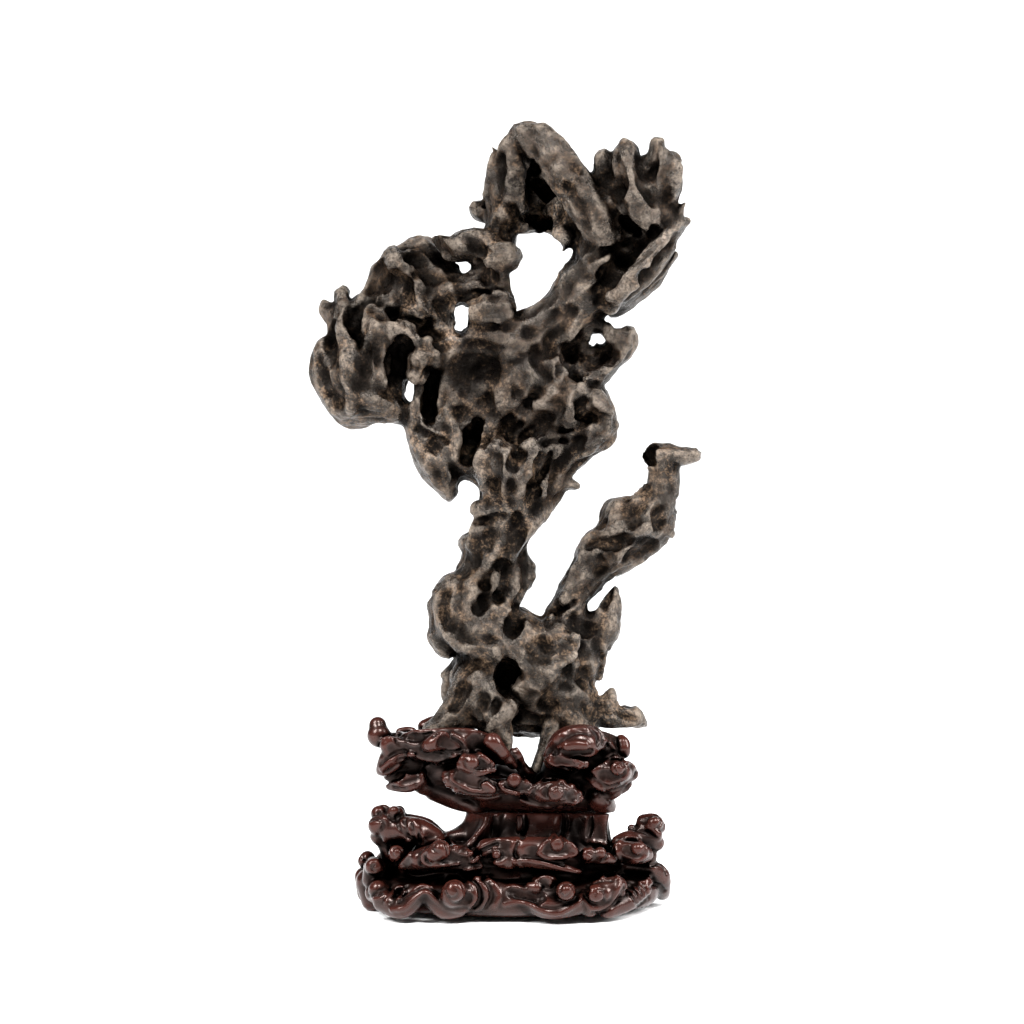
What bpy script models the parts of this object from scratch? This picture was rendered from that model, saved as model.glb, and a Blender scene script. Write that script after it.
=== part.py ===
# A scholar's rock on its carved hardwood stand: one worn limestone with its feet set
# in sockets of the stand's upper piece, which sits on the waist of the lower piece.
#
# Shapes are laid out on a front elevation, in millimetres, seen from TILT above the
# horizontal: x to the right, v up the drawing, y the depth (minus is the front).
# A limb is a run of points (x, v, y, radius), with a factor for its depth.
import math

import bmesh
import bpy
from mathutils import Matrix, Vector

MM = 0.001
TILT = math.radians(6.0)

# Driving dimensions, in millimetres.
STONE_DEPTH = 1.45
SEAM_HEIGHT = 76.0
SEAM_HALF_GAP = 0.15
SOCKET_GAP = 0.4
SOFTENING_LOSS = 0.6
VOXEL_STONE = 2.4
VOXEL_STAND = 2.0
RING_RADIUS_X = 100.0
RING_RADIUS_Y = 50.0

# Triangle budgets of the three pieces.
STONE_TRIANGLES = 4850
TOP_TRIANGLES = 1850
BASE_TRIANGLES = 2550

# Stone: the limbs and lobes that make its outline.
STONE_LIMBS = [
    (0.9, [(0, 322, 0, 25), (-2, 304, 0, 24.5), (-8, 288, 2, 21.5), (-15, 270, 2, 22.5),
          (-17, 252, 2, 24.5)]),
    (0.85, [(-16, 250, 2, 24), (-25, 228, 2, 28), (-18, 208, 2, 30), (4, 192, 2, 32),
          (22, 178, 2, 33)]),
    (1, [(-43, 237, 2, 17), (-46, 224, 2, 17), (-48, 208, 2, 15)]),
    (1, [(-55, 204, 0, 9.5), (-52, 200, 0, 10)]),
    (1, [(-54, 230, 0, 9.5), (-52, 224, 0, 8)]),
    (1, [(-50, 247, 0, 5), (-44, 246, 0, 8)]),
    (1, [(-34, 277, 0, 7.5), (-31, 272, 0, 8)]),
    (0.9, [(24, 190, 2, 30), (46, 190, 2, 22), (50, 186, 2, 18)]),
    (0.9, [(-15, 185, 0, 26), (-28, 167, -6, 21), (-40, 150, -10, 15), (-54, 138, -12, 9.5),
          (-62, 133, -12, 7), (-62, 122, -12, 6)]),
    (1, [(-24, 165, -14, 16), (-16, 147, -20, 14), (-9, 132, -22, 9), (-5, 120, -22, 6),
          (-4, 112, -20, 4)]),
    (0.8, [(-44, 176, 12, 8), (-47, 165, 14, 8), (-48.5, 160, 14, 5.5)]),
    (0.8, [(-48, 176, 12, 6), (-52, 177.5, 12, 2.6)]),
    (0.8, [(-30, 180, 12, 18), (-40, 165, 14, 12)]),
    (0.85, [(20, 170, 0, 30), (40, 162, -2, 22), (54, 153, -4, 14), (72, 146.5, -6, 10),
          (86, 145, -7, 8.4), (93, 144.5, -7, 7.6), (99, 141, -7, 3.6)]),
    (1, [(68, 150, -6, 9), (72.5, 159, -7, 5), (74, 164, -7, 2.2)]),
    (1, [(8, 148, 2, 15), (16, 148, 2, 16), (26, 146, 0, 14)]),
    (1, [(5, 138, 2, 7), (20, 139, 2, 8)]),
    (1, [(38, 152, -4, 16), (48, 140, -6, 15), (52, 126, -6, 13)]),
    (0.85, [(36, 196, 0, 24), (39, 212, 0, 18.5), (41, 226, 0, 15), (46, 240, 0, 13),
          (55, 256, 0, 14), (69, 270, 0, 18.5), (87, 283, 0, 23), (103, 296, 0, 18.5),
          (110, 309, 0, 13), (112, 323, 0, 12.5), (112.5, 338, 0, 12)]),
    (0.8, [(78, 297, 3, 14.5), (83, 300, 3, 13)]),
    (1, [(80, 262, 0, 8), (92, 270, 0, 9), (106, 283, 0, 9)]),
    (0.9, [(60, 276, 0, 10), (54, 270, 0, 9)]),
    (0.9, [(104, 342, -2, 7.5), (106, 343, -2, 9), (112, 343, -2, 8)]),
    (1, [(116, 343, -2, 7), (128, 342, -3, 5.6), (137, 343, -3, 4.6)]),
    (0.9, [(62, 205, -2, 12), (70, 214, -3, 11.5), (74, 226, -3, 8), (75.5, 236, -3, 6.2),
          (76, 240, -3, 5)]),
    (1, [(56, 212, 0, 12), (62, 207, 0, 12)]),
    (0.9, [(-66, 420, 0, 13), (-68, 405, 0, 11), (-69, 392, 0, 8), (-71, 377, 0, 11),
          (-66, 356, 0, 13), (-60, 341, 0, 15), (-51, 326, 0, 12), (-47, 315, 0, 7.5)]),
    (0.9, [(-60, 362, 2, 18), (-44, 349, 2, 20), (-22, 339, 0, 20), (-4, 328, 0, 23)]),
    (0.85, [(22, 402, 4, 28), (34, 382, 4, 28), (29, 360, 5, 24), (12, 338, 4, 25)]),
    (0.7, [(-30, 405, 8, 32), (-40, 380, 8, 30), (-20, 365, 8, 28)]),
    (0.9, [(-20, 425, 2, 22), (-45, 420, 0, 16), (-62, 418, 0, 13)]),
    (0.9, [(56, 392, 0, 12), (60, 381, 0, 13), (66, 369, 0, 12.5), (64, 360, 0, 13),
          (50, 352, 0, 14), (38, 338, 0, 12), (31, 324, 0, 11.5), (25, 311, 0, 9)]),
    (1, [(34, 323, -2, 7), (42, 321, -2, 4.4), (48, 319.2, -2, 2)]),
    (1, [(55, 437, 0, 6), (66, 438, -1, 5.6), (74, 432, -1, 5.4), (80, 428, -1, 6),
          (87, 433.5, -1, 6), (86, 423, -1, 7), (78, 414, -1, 7), (68, 405, 0, 8),
          (58, 398, 0, 10)]),
    (0.85, [(62, 500, 0, 18), (60, 483, 0, 19), (52, 466, 0, 22), (42, 449, 0, 22),
          (25, 438, 0, 20.5), (3, 428, 0, 21), (-20, 424, 0, 18)]),
    (0.85, [(-128, 445, 0, 12), (-129, 427, 0, 13), (-133, 412, 0, 19.5), (-129, 397, 0, 20),
          (-119, 382, 0, 19), (-104, 383, 0, 17), (-92, 380, 2, 14), (-84, 376, 2, 11)]),
    (0.8, [(-104, 430, 2, 24), (-98, 412, 2, 24), (-95, 398, 2, 20)]),
    (1, [(-128, 443, -4, 7), (-127.5, 453, -4, 5), (-128, 462, -4, 4.4)]),
    (1, [(-131, 443, 2, 9), (-136, 449, 2, 7.5), (-139.5, 453, 2, 5.6)]),
    (0.9, [(-112, 444, 2, 14), (-106, 453, 2, 12), (-102, 466, 2, 9), (-99, 478, 2, 8.5),
          (-92, 482, 0, 8)]),
    (1, [(-116, 452, 0, 8), (-112, 456, 0, 8)]),
    (1, [(-98, 482, 0, 5), (-91, 487, -2, 7), (-89, 493, -2, 5)]),
    (0.8, [(-88, 460, 2, 18), (-84, 474, 2, 14), (-74, 482, 2, 14)]),
    (0.8, [(-80, 435, 2, 16), (-72, 445, 2, 18), (-62, 452, 2, 18)]),
    (1, [(-84, 492, 12, 7.5), (-78, 494, 14, 9), (-70, 496, 15, 10), (-60, 489, 15, 11),
          (-50, 477, 14, 10.5), (-38, 470, 12, 9)]),
    (1, [(-62, 503, -4, 2), (-55, 502, -4, 5.4), (-45, 497, -4, 9), (-34, 500, -4, 12),
          (-22, 499.5, -4, 11)]),
    (1, [(-20, 495, -2, 12), (-9, 492, -6, 12.5), (-6, 491, -6, 12)]),
    (1, [(-12, 487, -6, 10), (-9, 476, -4, 6.5), (-4, 463, -2, 5), (-1.5, 458, -1, 3.5)]),
    (0.9, [(-60, 470, 2, 14), (-45, 462, 2, 14), (-28, 468, 4, 13), (-15, 470, 4, 11)]),
    (0.9, [(-30, 452, -6, 9), (-18, 450, -8, 12), (-8, 452, -8, 10)]),
    (0.9, [(-55, 440, 0, 12), (-40, 432, 0, 11), (-28, 436, 0, 11)]),
    (1, [(-10, 502, 4, 13), (-9, 518, 4, 10.5), (-9.5, 535, 4, 10), (-10, 552, 2, 9),
          (-3, 569, 0, 9.5), (9, 580, -2, 12.5), (21, 576, -4, 11.5), (33, 566, -6, 11.5),
          (42, 552, -6, 12.5), (50, 537, -6, 14), (60, 521, -6, 15), (67, 507, -4, 15)]),
    (1, [(-12, 563, 2, 6), (-14, 569, 2, 3.4), (-16, 573.5, 2, 1.2)]),
    (1, [(-18, 520, 10, 7), (-26, 524, 14, 6.5), (-27, 529, 14, 4.5)]),
    (0.8, [(2, 545, 22, 14), (14, 524, 24, 13), (22, 542, 24, 17), (20, 558, 20, 14),
          (6, 560, 18, 10)]),
    (0.9, [(34, 522, 14, 13), (46, 515, 6, 14)]),
    (1, [(36, 500, -6, 6.5), (40, 503, -6, 7)]),
    (1, [(4, 513, 12, 7), (18, 514, 14, 8), (32, 514, 10, 9)]),
    (0.85, [(56, 543, 0, 8), (70, 545, 0, 14), (88, 542, 0, 19), (104, 538, 0, 17),
          (110, 525, 0, 11)]),
    (1, [(68, 553, -2, 9.5), (67, 565, -3, 7.6), (67.5, 567, -3, 7)]),
    (1, [(78, 560, -1, 9), (78, 566, -2, 6)]),
    (1, [(86, 558, -2, 11), (85.5, 567, -2, 7.5), (85, 573, -2, 4)]),
    (1, [(103, 556, -1, 11), (105.5, 567, -2, 7.2), (106.5, 573.5, -2, 4.2)]),
    (1, [(114, 548, 0, 12), (117.5, 559, 0, 7.2), (119.5, 563, 0, 4.8)]),
    (0.9, [(111, 522, -4, 10), (115, 510, -4, 8.5), (110, 495, -4, 10), (98, 481, -4, 12),
          (84, 471, -2, 14), (68, 462, 0, 16)]),
    (1, [(116, 514, -2, 6), (123, 523, -4, 3.8), (128, 529.5, -5, 1.8)]),
    (1, [(118, 510, -2, 7.5), (125, 514, -2, 4), (130, 517, -2, 1.6)]),
    (1, [(121, 491, 8, 3.6), (114, 484, 8, 6), (101, 471, 8, 8), (87, 462, 8, 9), (75, 453, 8, 9)]),
    (0.8, [(95, 510, 8, 15), (80, 500, 8, 17), (95, 495, 6, 12)]),
    (0.8, [(84, 521, 14, 11)]),
]

# Stone: the lumps, ledges and broad ridges on its faces.
STONE_LUMPS = [
    (1, [(-2, 566, -6, 7), (0, 550, -6, 7), (4, 535, -5, 6), (8, 520, -3, 5), (7, 512, -1, 4)]),
    (1, [(22, 583, -11, 6), (33, 573, -13, 6), (45, 558, -15, 6.5), (55, 543, -17, 6.5),
          (63, 528, -17, 7), (68, 515, -15, 6)]),
    (1, [(84, 570, -5, 6), (85, 556, -10, 9), (91, 540, -15, 9.5), (98, 526, -16, 8.5),
          (104, 514, -15, 6)]),
    (1, [(107, 572, -5, 4), (113, 561, -9, 6), (118, 548, -9, 7), (116, 536, -8, 7)]),
    (1, [(127, 516.5, -4, 2), (118, 506, -12, 4), (108, 494, -15, 6), (98, 484, -18, 6),
          (90, 474, -20, 6), (80, 462, -19, 6), (74, 452, -14, 5)]),
    (1, [(66, 485, -15, 7)]),
    (1, [(-128, 460, -6, 4.5), (-127, 447, -12, 6), (-129, 434, -16, 6.5), (-127, 420, -20, 6.5),
          (-125, 407, -22, 6.5), (-123, 392, -21, 6), (-121, 378, -17, 6)]),
    (1, [(-98, 458, -12, 5), (-102, 445, -18, 5), (-107, 431, -22, 6), (-108, 415, -22, 6),
          (-106, 400, -20, 6)]),
    (1, [(-93, 436, -13, 7), (-84, 434, -18, 9.5), (-75, 429, -17, 8)]),
    (1, [(-93, 489, -6, 5.5), (-86, 483, -11, 7), (-81, 479, -10, 5)]),
    (1, [(-112, 392, -16, 8), (-102, 381, -14, 9), (-92, 376, -8, 8)]),
    (1, [(-72, 401, -12, 7), (-72, 412, -15, 8.5), (-65, 418, -15, 7)]),
    (1, [(-27, 484, 4, 5.5), (-20, 480, 4, 7)]),
    (1, [(-46, 481, 6, 6), (-42, 477, 5, 6)]),
    (1, [(-29, 446, -11, 6.5), (-18, 446, -13, 7), (-8, 447, -12, 7)]),
    (1, [(-60, 476, -8, 6), (-52, 464, -10, 6), (-45, 454, -10, 5)]),
    (1, [(-74, 478, -8, 6), (-68, 464, -12, 6), (-60, 452, -14, 6)]),
    (0.9, [(52, 421, 9, 12), (64, 417, 8, 10), (74, 421, 7, 8)]),
    (1, [(52, 394, -12, 6), (60, 384, -13, 7), (66, 376, -12, 7)]),
    (1, [(70, 364, -9, 6), (62, 357, -12, 7), (52, 349, -11, 6)]),
    (1, [(-26, 342, -16, 7), (-22, 328, -17, 7), (-18, 316, -14, 6)]),
    (1, [(-12, 346, -18, 8), (-4, 331, -22, 8), (2, 318, -20, 7)]),
    (1, [(14, 346, -18, 6), (18, 330, -18, 7), (20, 314, -14, 6)]),
    (1, [(-60, 358, -12, 6), (-57, 342, -12, 6), (-50, 326, -9, 5)]),
    (1, [(25, 302, -6, 5), (13, 288, -15, 6), (4, 276, -18, 6), (-2, 266, -18, 5)]),
    (1, [(-24, 302, -8, 5), (-26, 288, -11, 6), (-30, 276, -14, 6)]),
    (1, [(-26, 226, -13, 6), (-20, 236, -11, 5), (-12, 246, -10, 4)]),
    (1, [(-53, 236, -8, 5), (-53, 218, -11, 5), (-45, 204, -14, 6), (-30, 196, -21, 7),
          (-14, 194, -24, 6)]),
    (1, [(9, 264, 0, 6), (12, 256, 0, 6), (11, 246, 0, 6)]),
    (1, [(36, 208, -15, 6), (44, 195, -19, 8), (50, 184, -17, 7)]),
]

# Stone: the pits, hollows and valleys worn into it.
STONE_PITS = [
    (1, [(-6, 512, -11, 7), (1, 512, -8, 6)]),
    (1, [(60, 557, -13, 5), (66, 546, -15, 6), (73, 531, -17, 5)]),
    (1, [(34, 560, -22, 4), (30, 545, -20, 5), (38, 530, -22, 5)]),
    (1, [(106, 558, -15, 5), (107, 553, -15, 5)]),
    (1, [(84, 522, -16, 5), (90, 515, -14, 7), (89, 517, 6, 6)]),
    (1, [(102, 502, -15, 6), (88, 488, -21, 5), (80, 478, -21, 4)]),
    (1, [(-117, 456, -8, 5), (-117, 444, -16, 6), (-118, 430, -22, 5), (-116, 415, -24, 4.5),
          (-114, 400, -23, 4)]),
    (0.9, [(-89, 448, -15, 7), (-78, 448, -15, 7), (-72, 443, -13, 6)]),
    (1, [(-98, 420, -18, 5), (-92, 408, -18, 5)]),
    (0.9, [(-82, 420, -19, 7), (-84, 408, -17, 9), (-86, 398, -13, 7)]),
    (1, [(-98, 476, -11, 5), (-90, 473, -13, 6), (-83, 473, -11, 4)]),
    (1, [(-108, 398, -24, 4), (-98, 390, -24, 5), (-88, 384, -18, 5)]),
    (1, [(-61, 400, -14, 4), (-62, 388, -12, 7.5), (-62, 374, -12, 6.5), (-60, 367, -12, 4)]),
    (1, [(-61, 398, 2, 4), (-62, 387, 4, 7), (-62, 374, 2, 6)]),
    (1, [(-40, 374, -15, 7), (-31, 367, -16, 8), (-25, 361, -16, 6)]),
    (1, [(-34, 360, -14, 5), (-34, 350, -13, 7), (-33, 340, -14, 6)]),
    (1, [(-34, 358, 2, 5), (-34, 347, 2, 7)]),
    (1, [(-24, 471, -13, 5), (-14, 472, -13, 5), (-6, 470, -11, 4)]),
    (1, [(-54, 456, -20, 5), (-50, 446, -16, 5)]),
    (1, [(20, 420, -20, 4), (24, 407, -23, 6), (22, 394, -23, 6), (16, 385, -18, 5)]),
    (1, [(60, 416, -12, 5), (50, 402, -19, 4), (43, 388, -23, 4), (36, 374, -22, 4)]),
    (1, [(68, 420, -6, 7), (60, 424, -6, 6)]),
    (0.9, [(8, 353, -20, 5), (22, 355, -22, 7), (36, 355, -21, 7), (46, 352, -16, 5)]),
    (1, [(-50, 352, -22, 6), (-46, 338, -20, 5), (-46, 326, -14, 4)]),
    (1, [(4, 300, -24, 4), (-6, 286, -24, 5), (-16, 272, -23, 4)]),
    (1, [(-24, 230, -20, 8), (-18, 240, -19, 10), (-10, 250, -17, 9), (-4, 258, -15, 6)]),
    (1, [(-5, 176, -24, 12), (-4, 175, -12, 11), (-2, 174, 2, 8)]),
    (1, [(-18, 164, -34, 5), (-16, 154, -36, 4)]),
    (1, [(30, 204, -29, 5), (27, 186, -32, 5), (22, 166, -30, 5), (12, 150, -20, 5)]),
    (1, [(20, 142, -16, 6), (24, 136, -14, 5)]),
    (1, [(102, 344, -14, 6.5), (103, 342, -7, 6)]),
    (1, [(84, 304, -19, 5), (72, 296, -16, 4)]),
    (0.9, [(-112, 424, 24, 9), (-114, 404, 20, 8)]),
    (0.9, [(-132, 430, 18, 6), (-134, 412, 20, 6)]),
    (0.9, [(-62, 446, 22, 8), (-70, 432, 18, 7)]),
    (0.9, [(-30, 402, 36, 11), (-34, 384, 33, 10)]),
    (0.9, [(18, 404, 33, 9), (26, 384, 32, 9)]),
    (0.9, [(60, 478, 20, 8), (52, 462, 22, 7)]),
    (0.9, [(98, 545, 20, 8), (82, 552, 18, 6)]),
    (0.9, [(20, 566, 38, 9), (14, 546, 42, 10)]),
    (0.9, [(8, 342, 30, 9), (-4, 326, 28, 7)]),
    (0.9, [(-52, 352, 25, 8), (-46, 338, 22, 6)]),
    (0.9, [(-8, 292, 27, 7), (-4, 276, 26, 6)]),
    (0.9, [(-22, 246, 29, 9), (-28, 226, 30, 9)]),
    (0.9, [(26, 196, 34, 9), (10, 182, 36, 9)]),
    (0.9, [(66, 284, 19, 6), (82, 296, 22, 6)]),
    (0.9, [(100, 508, 24, 7)]),
    (0.9, [(46, 184, 28, 6), (50, 170, 24, 5)]),
    (0.9, [(-20, 178, 30, 7)]),
]

# Stone: the small openings worn right through, front to back.
STONE_WINDOWS = [
    (1, [(-78, 393, -60, 1.9), (-78, 393, 60, 1.9)]),
    (1, [(-77, 388, -60, 1.6), (-77, 388, 60, 1.6)]),
    (1, [(-32, 405, -46, 34)]),
    (1, [(-39, 442, -60, 4), (-39, 442, 60, 4)]),
    (1, [(-37.2, 446.5, -60, 3.4), (-37.2, 446.5, 60, 3.4)]),
    (1, [(-37.3, 439, -60, 2.8), (-37.3, 439, 60, 2.8)]),
    (1, [(-33.5, 312, -60, 5), (-33.5, 312, 60, 5)]),
    (1, [(-36, 319, -60, 4), (-36, 319, 60, 4)]),
    (1, [(-36, 483.2, -60, 2.6), (-36, 483.2, 60, 2.6)]),
    (1, [(59, 426, -60, 2.3), (59, 426, 60, 2.3)]),
    (1, [(59.5, 429, -60, 1.6), (59.5, 429, 60, 1.6)]),
]

# Stand, upper tier: its core, then cloud lobes and knobs.
TOP_LOBES = [
    (2, [(-60, 104, 0, 14), (-30, 103, 0, 17), (-6, 97, 0, 14), (14, 93, 0, 12.5), (32, 98, 0, 16),
          (60, 104, 0, 16)]),
    (1.6, [(-24, 86, -8, 14), (10, 84, -8, 14), (45, 84, -8, 14), (62, 86, -4, 12)]),
    (2, [(-78, 118, 0, 14), (-60, 120, -6, 13), (-40, 118, -10, 13)]),
    (1.8, [(40, 118, -6, 18), (60, 120, -2, 16)]),
    (1, [(-101, 139.3, -16, 6)]),
    (1, [(-100, 132, -18, 8.2)]),
    (1, [(-98, 128, -12, 6), (-88, 126, -10, 8)]),
    (1, [(-94, 124, -34, 6.4)]),
    (1, [(-84, 124, -28, 6), (-90, 116, -30, 9.5), (-96, 108, -28, 7), (-100, 104.5, -26, 3.5)]),
    (1, [(-93, 92, -20, 2.2), (-86, 93, -26, 4.5), (-78, 95, -30, 6.5), (-70, 98, -30, 5)]),
    (1, [(-79.5, 99.5, -36, 4.6)]),
    (1, [(-68, 93, -24, 6.5), (-60, 91, -18, 7), (-46, 88, -14, 8)]),
    (1, [(-85, 134, 8, 3.5), (-80, 135, 8, 3.5), (-76, 134.5, 8, 3.5)]),
    (1, [(-66, 138, 24, 6), (-58, 141, 26, 6), (-50, 138, 26, 6)]),
    (1, [(-80, 128, -30, 5), (-70, 130, -36, 6), (-58, 130, -40, 6.5), (-44, 129, -42, 7),
          (-30, 129, -42, 7), (-22, 127, -40, 6)]),
    (1, [(-58, 126.5, -47, 7), (-55, 126.5, -47, 7)]),
    (1, [(-46, 125, -44, 8), (-40, 122, -44, 7)]),
    (1, [(-20, 127, -48, 5.5), (-14, 124.5, -48, 6.2), (-10, 120, -46, 5.5)]),
    (1, [(-8, 116, -40, 7), (-1, 115, -38, 7), (4, 111, -34, 4.6), (9, 104, -30, 5)]),
    (0.9, [(-40, 108, -52, 3), (-33, 109, -54, 8), (-24, 108, -54, 7), (-17, 107, -52, 3)]),
    (1, [(-31, 111, -60, 5)]),
    (0.9, [(-50, 101, -46, 4), (-42, 97, -50, 8), (-30, 93, -52, 9), (-18, 91, -50, 6),
          (-12, 88, -48, 3)]),
    (0.9, [(-16, 94, -48, 4), (-4, 93, -52, 6), (6, 92.5, -52, 5.5), (14, 91.5, -48, 3)]),
    (1, [(0.8, 97, -56, 5.3)]),
    (0.9, [(20, 90, -46, 7), (30, 88, -50, 10), (42, 86, -48, 7.5), (48, 84, -46, 4)]),
    (1, [(31, 89.5, -56, 4.5), (35, 86, -56, 4.5)]),
    (1, [(8, 83, -42, 3), (20, 82, -44, 4), (36, 81, -46, 3.5)]),
    (1, [(34, 114, -36, 11), (40, 124, -36, 13), (50, 127, -38, 13), (58, 127, -36, 12)]),
    (1, [(30, 113, -46, 3), (42, 111, -48, 3.5), (54, 110, -46, 3.5)]),
    (1, [(42, 124, -50, 4), (53, 124.3, -50, 4)]),
    (1, [(66, 124, -22, 11), (74, 122, -14, 10), (78, 120, -10, 8.5)]),
    (1, [(82, 121, -20, 5.4), (82, 126, -18, 4.5)]),
    (1, [(60, 99, -36, 4), (68, 98, -38, 8), (76, 101, -36, 9), (84, 103, -28, 7),
          (89, 101, -24, 4.5)]),
    (1, [(79.5, 106, -44, 4.4)]),
    (1, [(76, 90, -28, 6), (84, 93, -24, 4.5)]),
    (1, [(66, 84, -20, 10), (70, 78, -12, 8)]),
    (1, [(13, 104, -24, 5.5), (17, 116, -20, 4.6), (22, 127, -14, 5)]),
    (1, [(-74, 118, 34, 9), (-62, 128, 37, 11), (-50, 128, 38, 9)]),
    (1, [(-40, 116, 42, 9), (-24, 108, 45, 9), (-8, 100, 46, 8), (6, 95, 46, 7)]),
    (1, [(32, 112, 38, 10), (48, 121, 38, 12), (64, 118, 32, 10), (76, 112, 24, 8)]),
    (1, [(-52, 98, 42, 5), (-36, 93, 47, 8), (-18, 91, 48, 6)]),
    (1, [(16, 92, 45, 6), (32, 88, 48, 9), (50, 92, 42, 6)]),
    (1, [(-62, 127, 49, 6)]),
    (1, [(-28, 110, 54, 5.6)]),
    (1, [(2, 94, 53, 5)]),
    (1, [(52, 118, 50, 6.2)]),
    (1, [(76, 106, 34, 5)]),
    (1, [(-86, 108, 14, 8), (-76, 104, 26, 8), (-66, 100, 34, 7)]),
    (1, [(82, 100, 10, 7), (78, 96, 22, 7), (68, 94, 32, 7)]),
]

# Stand, lower part: bottom tier, second tier and waist, with their lobes and knobs.
BASE_LOBES = [
    (4.2, [(-58, 16, 0, 11), (58, 16, 0, 11)]),
    (2.8, [(-86, 16, 0, 9), (86, 16, 0, 9)]),
    (2.4, [(-52, 29, 0, 14), (52, 29, 0, 14)]),
    (3.2, [(-44, 43, 0, 11), (44, 43, 0, 11)]),
    (1, [(-110, 38, 6, 6), (-112, 36, 4, 5.5)]),
    (1, [(-104.6, 31, -22, 8.5), (-106, 22, -22, 8)]),
    (1, [(-101, 15, -30, 8), (-104, 12, -28, 8)]),
    (1, [(-108, 20, -8, 11), (-106, 6.6, -8, 9)]),
    (1, [(-112, 24, 10, 8), (-110, 12, 12, 8)]),
    (1, [(-98, 5, -46, 8), (-86, 0, -56, 8), (-78, 3, -60, 7), (-68, 12, -60, 7), (-60, 6, -60, 7),
          (-52, 0, -59, 8), (-42, 0.5, -58, 7.5)]),
    (1, [(-44, 11, -58, 11), (-36, 10, -56, 10)]),
    (1, [(-44, 11, -66, 8.4)]),
    (1, [(-28, 14, -54, 9), (-18, 13, -52, 9), (-10, 12, -52, 8)]),
    (1, [(0, 11, -52, 8), (12, 5.5, -55, 7.5), (24, 0.4, -60, 8), (36, 0.2, -61, 8),
          (48, 3, -60, 8)]),
    (1, [(20, 20, -50, 6), (28, 22, -52, 5)]),
    (1, [(40, 13, -64, 7.4)]),
    (1, [(58, 1.5, -57, 8), (66, 12, -56, 9.5), (78, 16, -52, 8.5)]),
    (1, [(69, 11, -62, 5)]),
    (1, [(72, -0.2, -53, 7.5), (84, 4, -44, 7.5), (96, 12, -36, 7), (101, 18, -30, 5)]),
    (1, [(104, 30, -14, 7), (110, 24, -6, 9), (113, 14, 4, 6), (113, 12, 12, 6)]),
    (0.8, [(-84, 32, -36, 3), (-74, 36, -44, 7), (-60, 40, -48, 11), (-46, 38, -48, 9),
          (-34, 36, -46, 7), (-26, 31.5, -44, 2.5)]),
    (1, [(-56, 42.5, -56, 8.4)]),
    (1, [(-88, 41, -34, 6.2)]),
    (1, [(-92, 60, -24, 10), (-80, 60, -28, 10), (-70, 58, -32, 10), (-60, 54, -34, 8)]),
    (1, [(-98, 72.5, -16, 6.8), (-101, 72, -18, 6.5)]),
    (1, [(-102, 63, -24, 7.5), (-96, 66, -26, 7), (-88, 71, -22, 6.5)]),
    (1, [(-102, 55, -18, 6), (-97, 50, -16, 6), (-94, 42, -16, 6)]),
    (1, [(-86, 74, -14, 4.5)]),
    (1, [(-78, 64, -14, 8), (-66, 61, -10, 8), (-54, 53, -8, 6), (-46, 53, -16, 5.5),
          (-38, 55, -18, 5)]),
    (0.9, [(-20, 46, -46, 7), (-4, 47, -48, 7.5), (12, 47, -50, 7.5), (26, 46, -52, 8),
          (40, 45, -52, 6), (46, 43, -50, 4)]),
    (1, [(33, 48, -60, 4.6)]),
    (1, [(4, 37, -50, 4.5), (18, 35, -54, 4.5), (34, 32, -54, 4), (50, 28, -52, 1.6)]),
    (1, [(-9, 36, -50, 5.5), (-3, 35, -50, 5.5)]),
    (1, [(-12.5, 41, -53, 3.2)]),
    (1, [(58, 40, -46, 6), (66, 39, -46, 6), (74, 37, -42, 4)]),
    (1, [(82, 44, -36, 7), (92, 42, -34, 8.5), (100, 41, -26, 6)]),
    (1, [(93.5, 45, -42, 4.6)]),
    (1, [(80, 50, -26, 6), (86, 52, -22, 7), (96, 52, -18, 8), (108, 50, -14, 6.5)]),
    (1, [(89.5, 61, -16, 3.2)]),
    (1, [(99, 66, -12, 6), (106, 66, -14, 6.5), (110, 62, -14, 5.5)]),
    (1, [(98, 58, -18, 5), (108, 56, -20, 5)]),
    (1, [(104, 40, -14, 5), (102, 35, -14, 5)]),
    (1.4, [(86, 33, -10, 8), (98, 31, -8, 8)]),
    (1.4, [(-96, 36, -4, 8), (-84, 37, 0, 9)]),
    (1.2, [(-24, 52, -14, 14), (-20, 66, -10, 13), (-19, 76, -8, 13)]),
    (1.4, [(60, 52, -10, 14), (60, 66, -8, 12.5)]),
    (1.4, [(0, 50, -6, 16), (30, 52, -6, 18), (55, 52, -4, 16)]),
    (1.3, [(0, 64, 0, 16), (30, 64, 0, 18), (50, 64, 0, 16)]),
    (1, [(-32, 48, -34, 4), (-25, 56, -30, 4), (-20, 66, -26, 4), (-19, 72, -24, 4)]),
    (1, [(5, 60, -26, 2.4), (5, 72, -26, 2.4)]),
    (1, [(49, 44, -40, 3.4), (48, 54, -37, 3.4), (45, 66, -34, 3.4), (44, 73, -32, 3.4)]),
    (1, [(56, 46, -36, 2.4), (56, 60, -34, 2.4), (54, 73, -32, 2.4)]),
    (1, [(68, 50, -24, 5), (67, 62, -22, 4.5), (68, 72, -20, 5)]),
]


def clear_scene():
    for old in list(bpy.data.objects):
        bpy.data.objects.remove(old)


def material(name, colour, roughness):
    made = bpy.data.materials.new(name)
    made.use_nodes = True
    shader = made.node_tree.nodes["Principled BSDF"]
    shader.inputs["Base Color"].default_value = (*colour, 1.0)
    shader.inputs["Roughness"].default_value = roughness
    shader.inputs["Metallic"].default_value = 0.0
    return made


def on_drawing(x, v, y):
    # A place read off the elevation drawing, as a point of the object.
    return Vector((x, y, (v - y * math.sin(TILT)) / math.cos(TILT)))


def stone_place(x, v, y):
    # The stone is deeper than it is drawn, and it twists a little on its way up.
    twist = 0.15 - 0.35 * (v - 200) / 360
    return on_drawing(x, v, y * STONE_DEPTH + x * twist)


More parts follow.
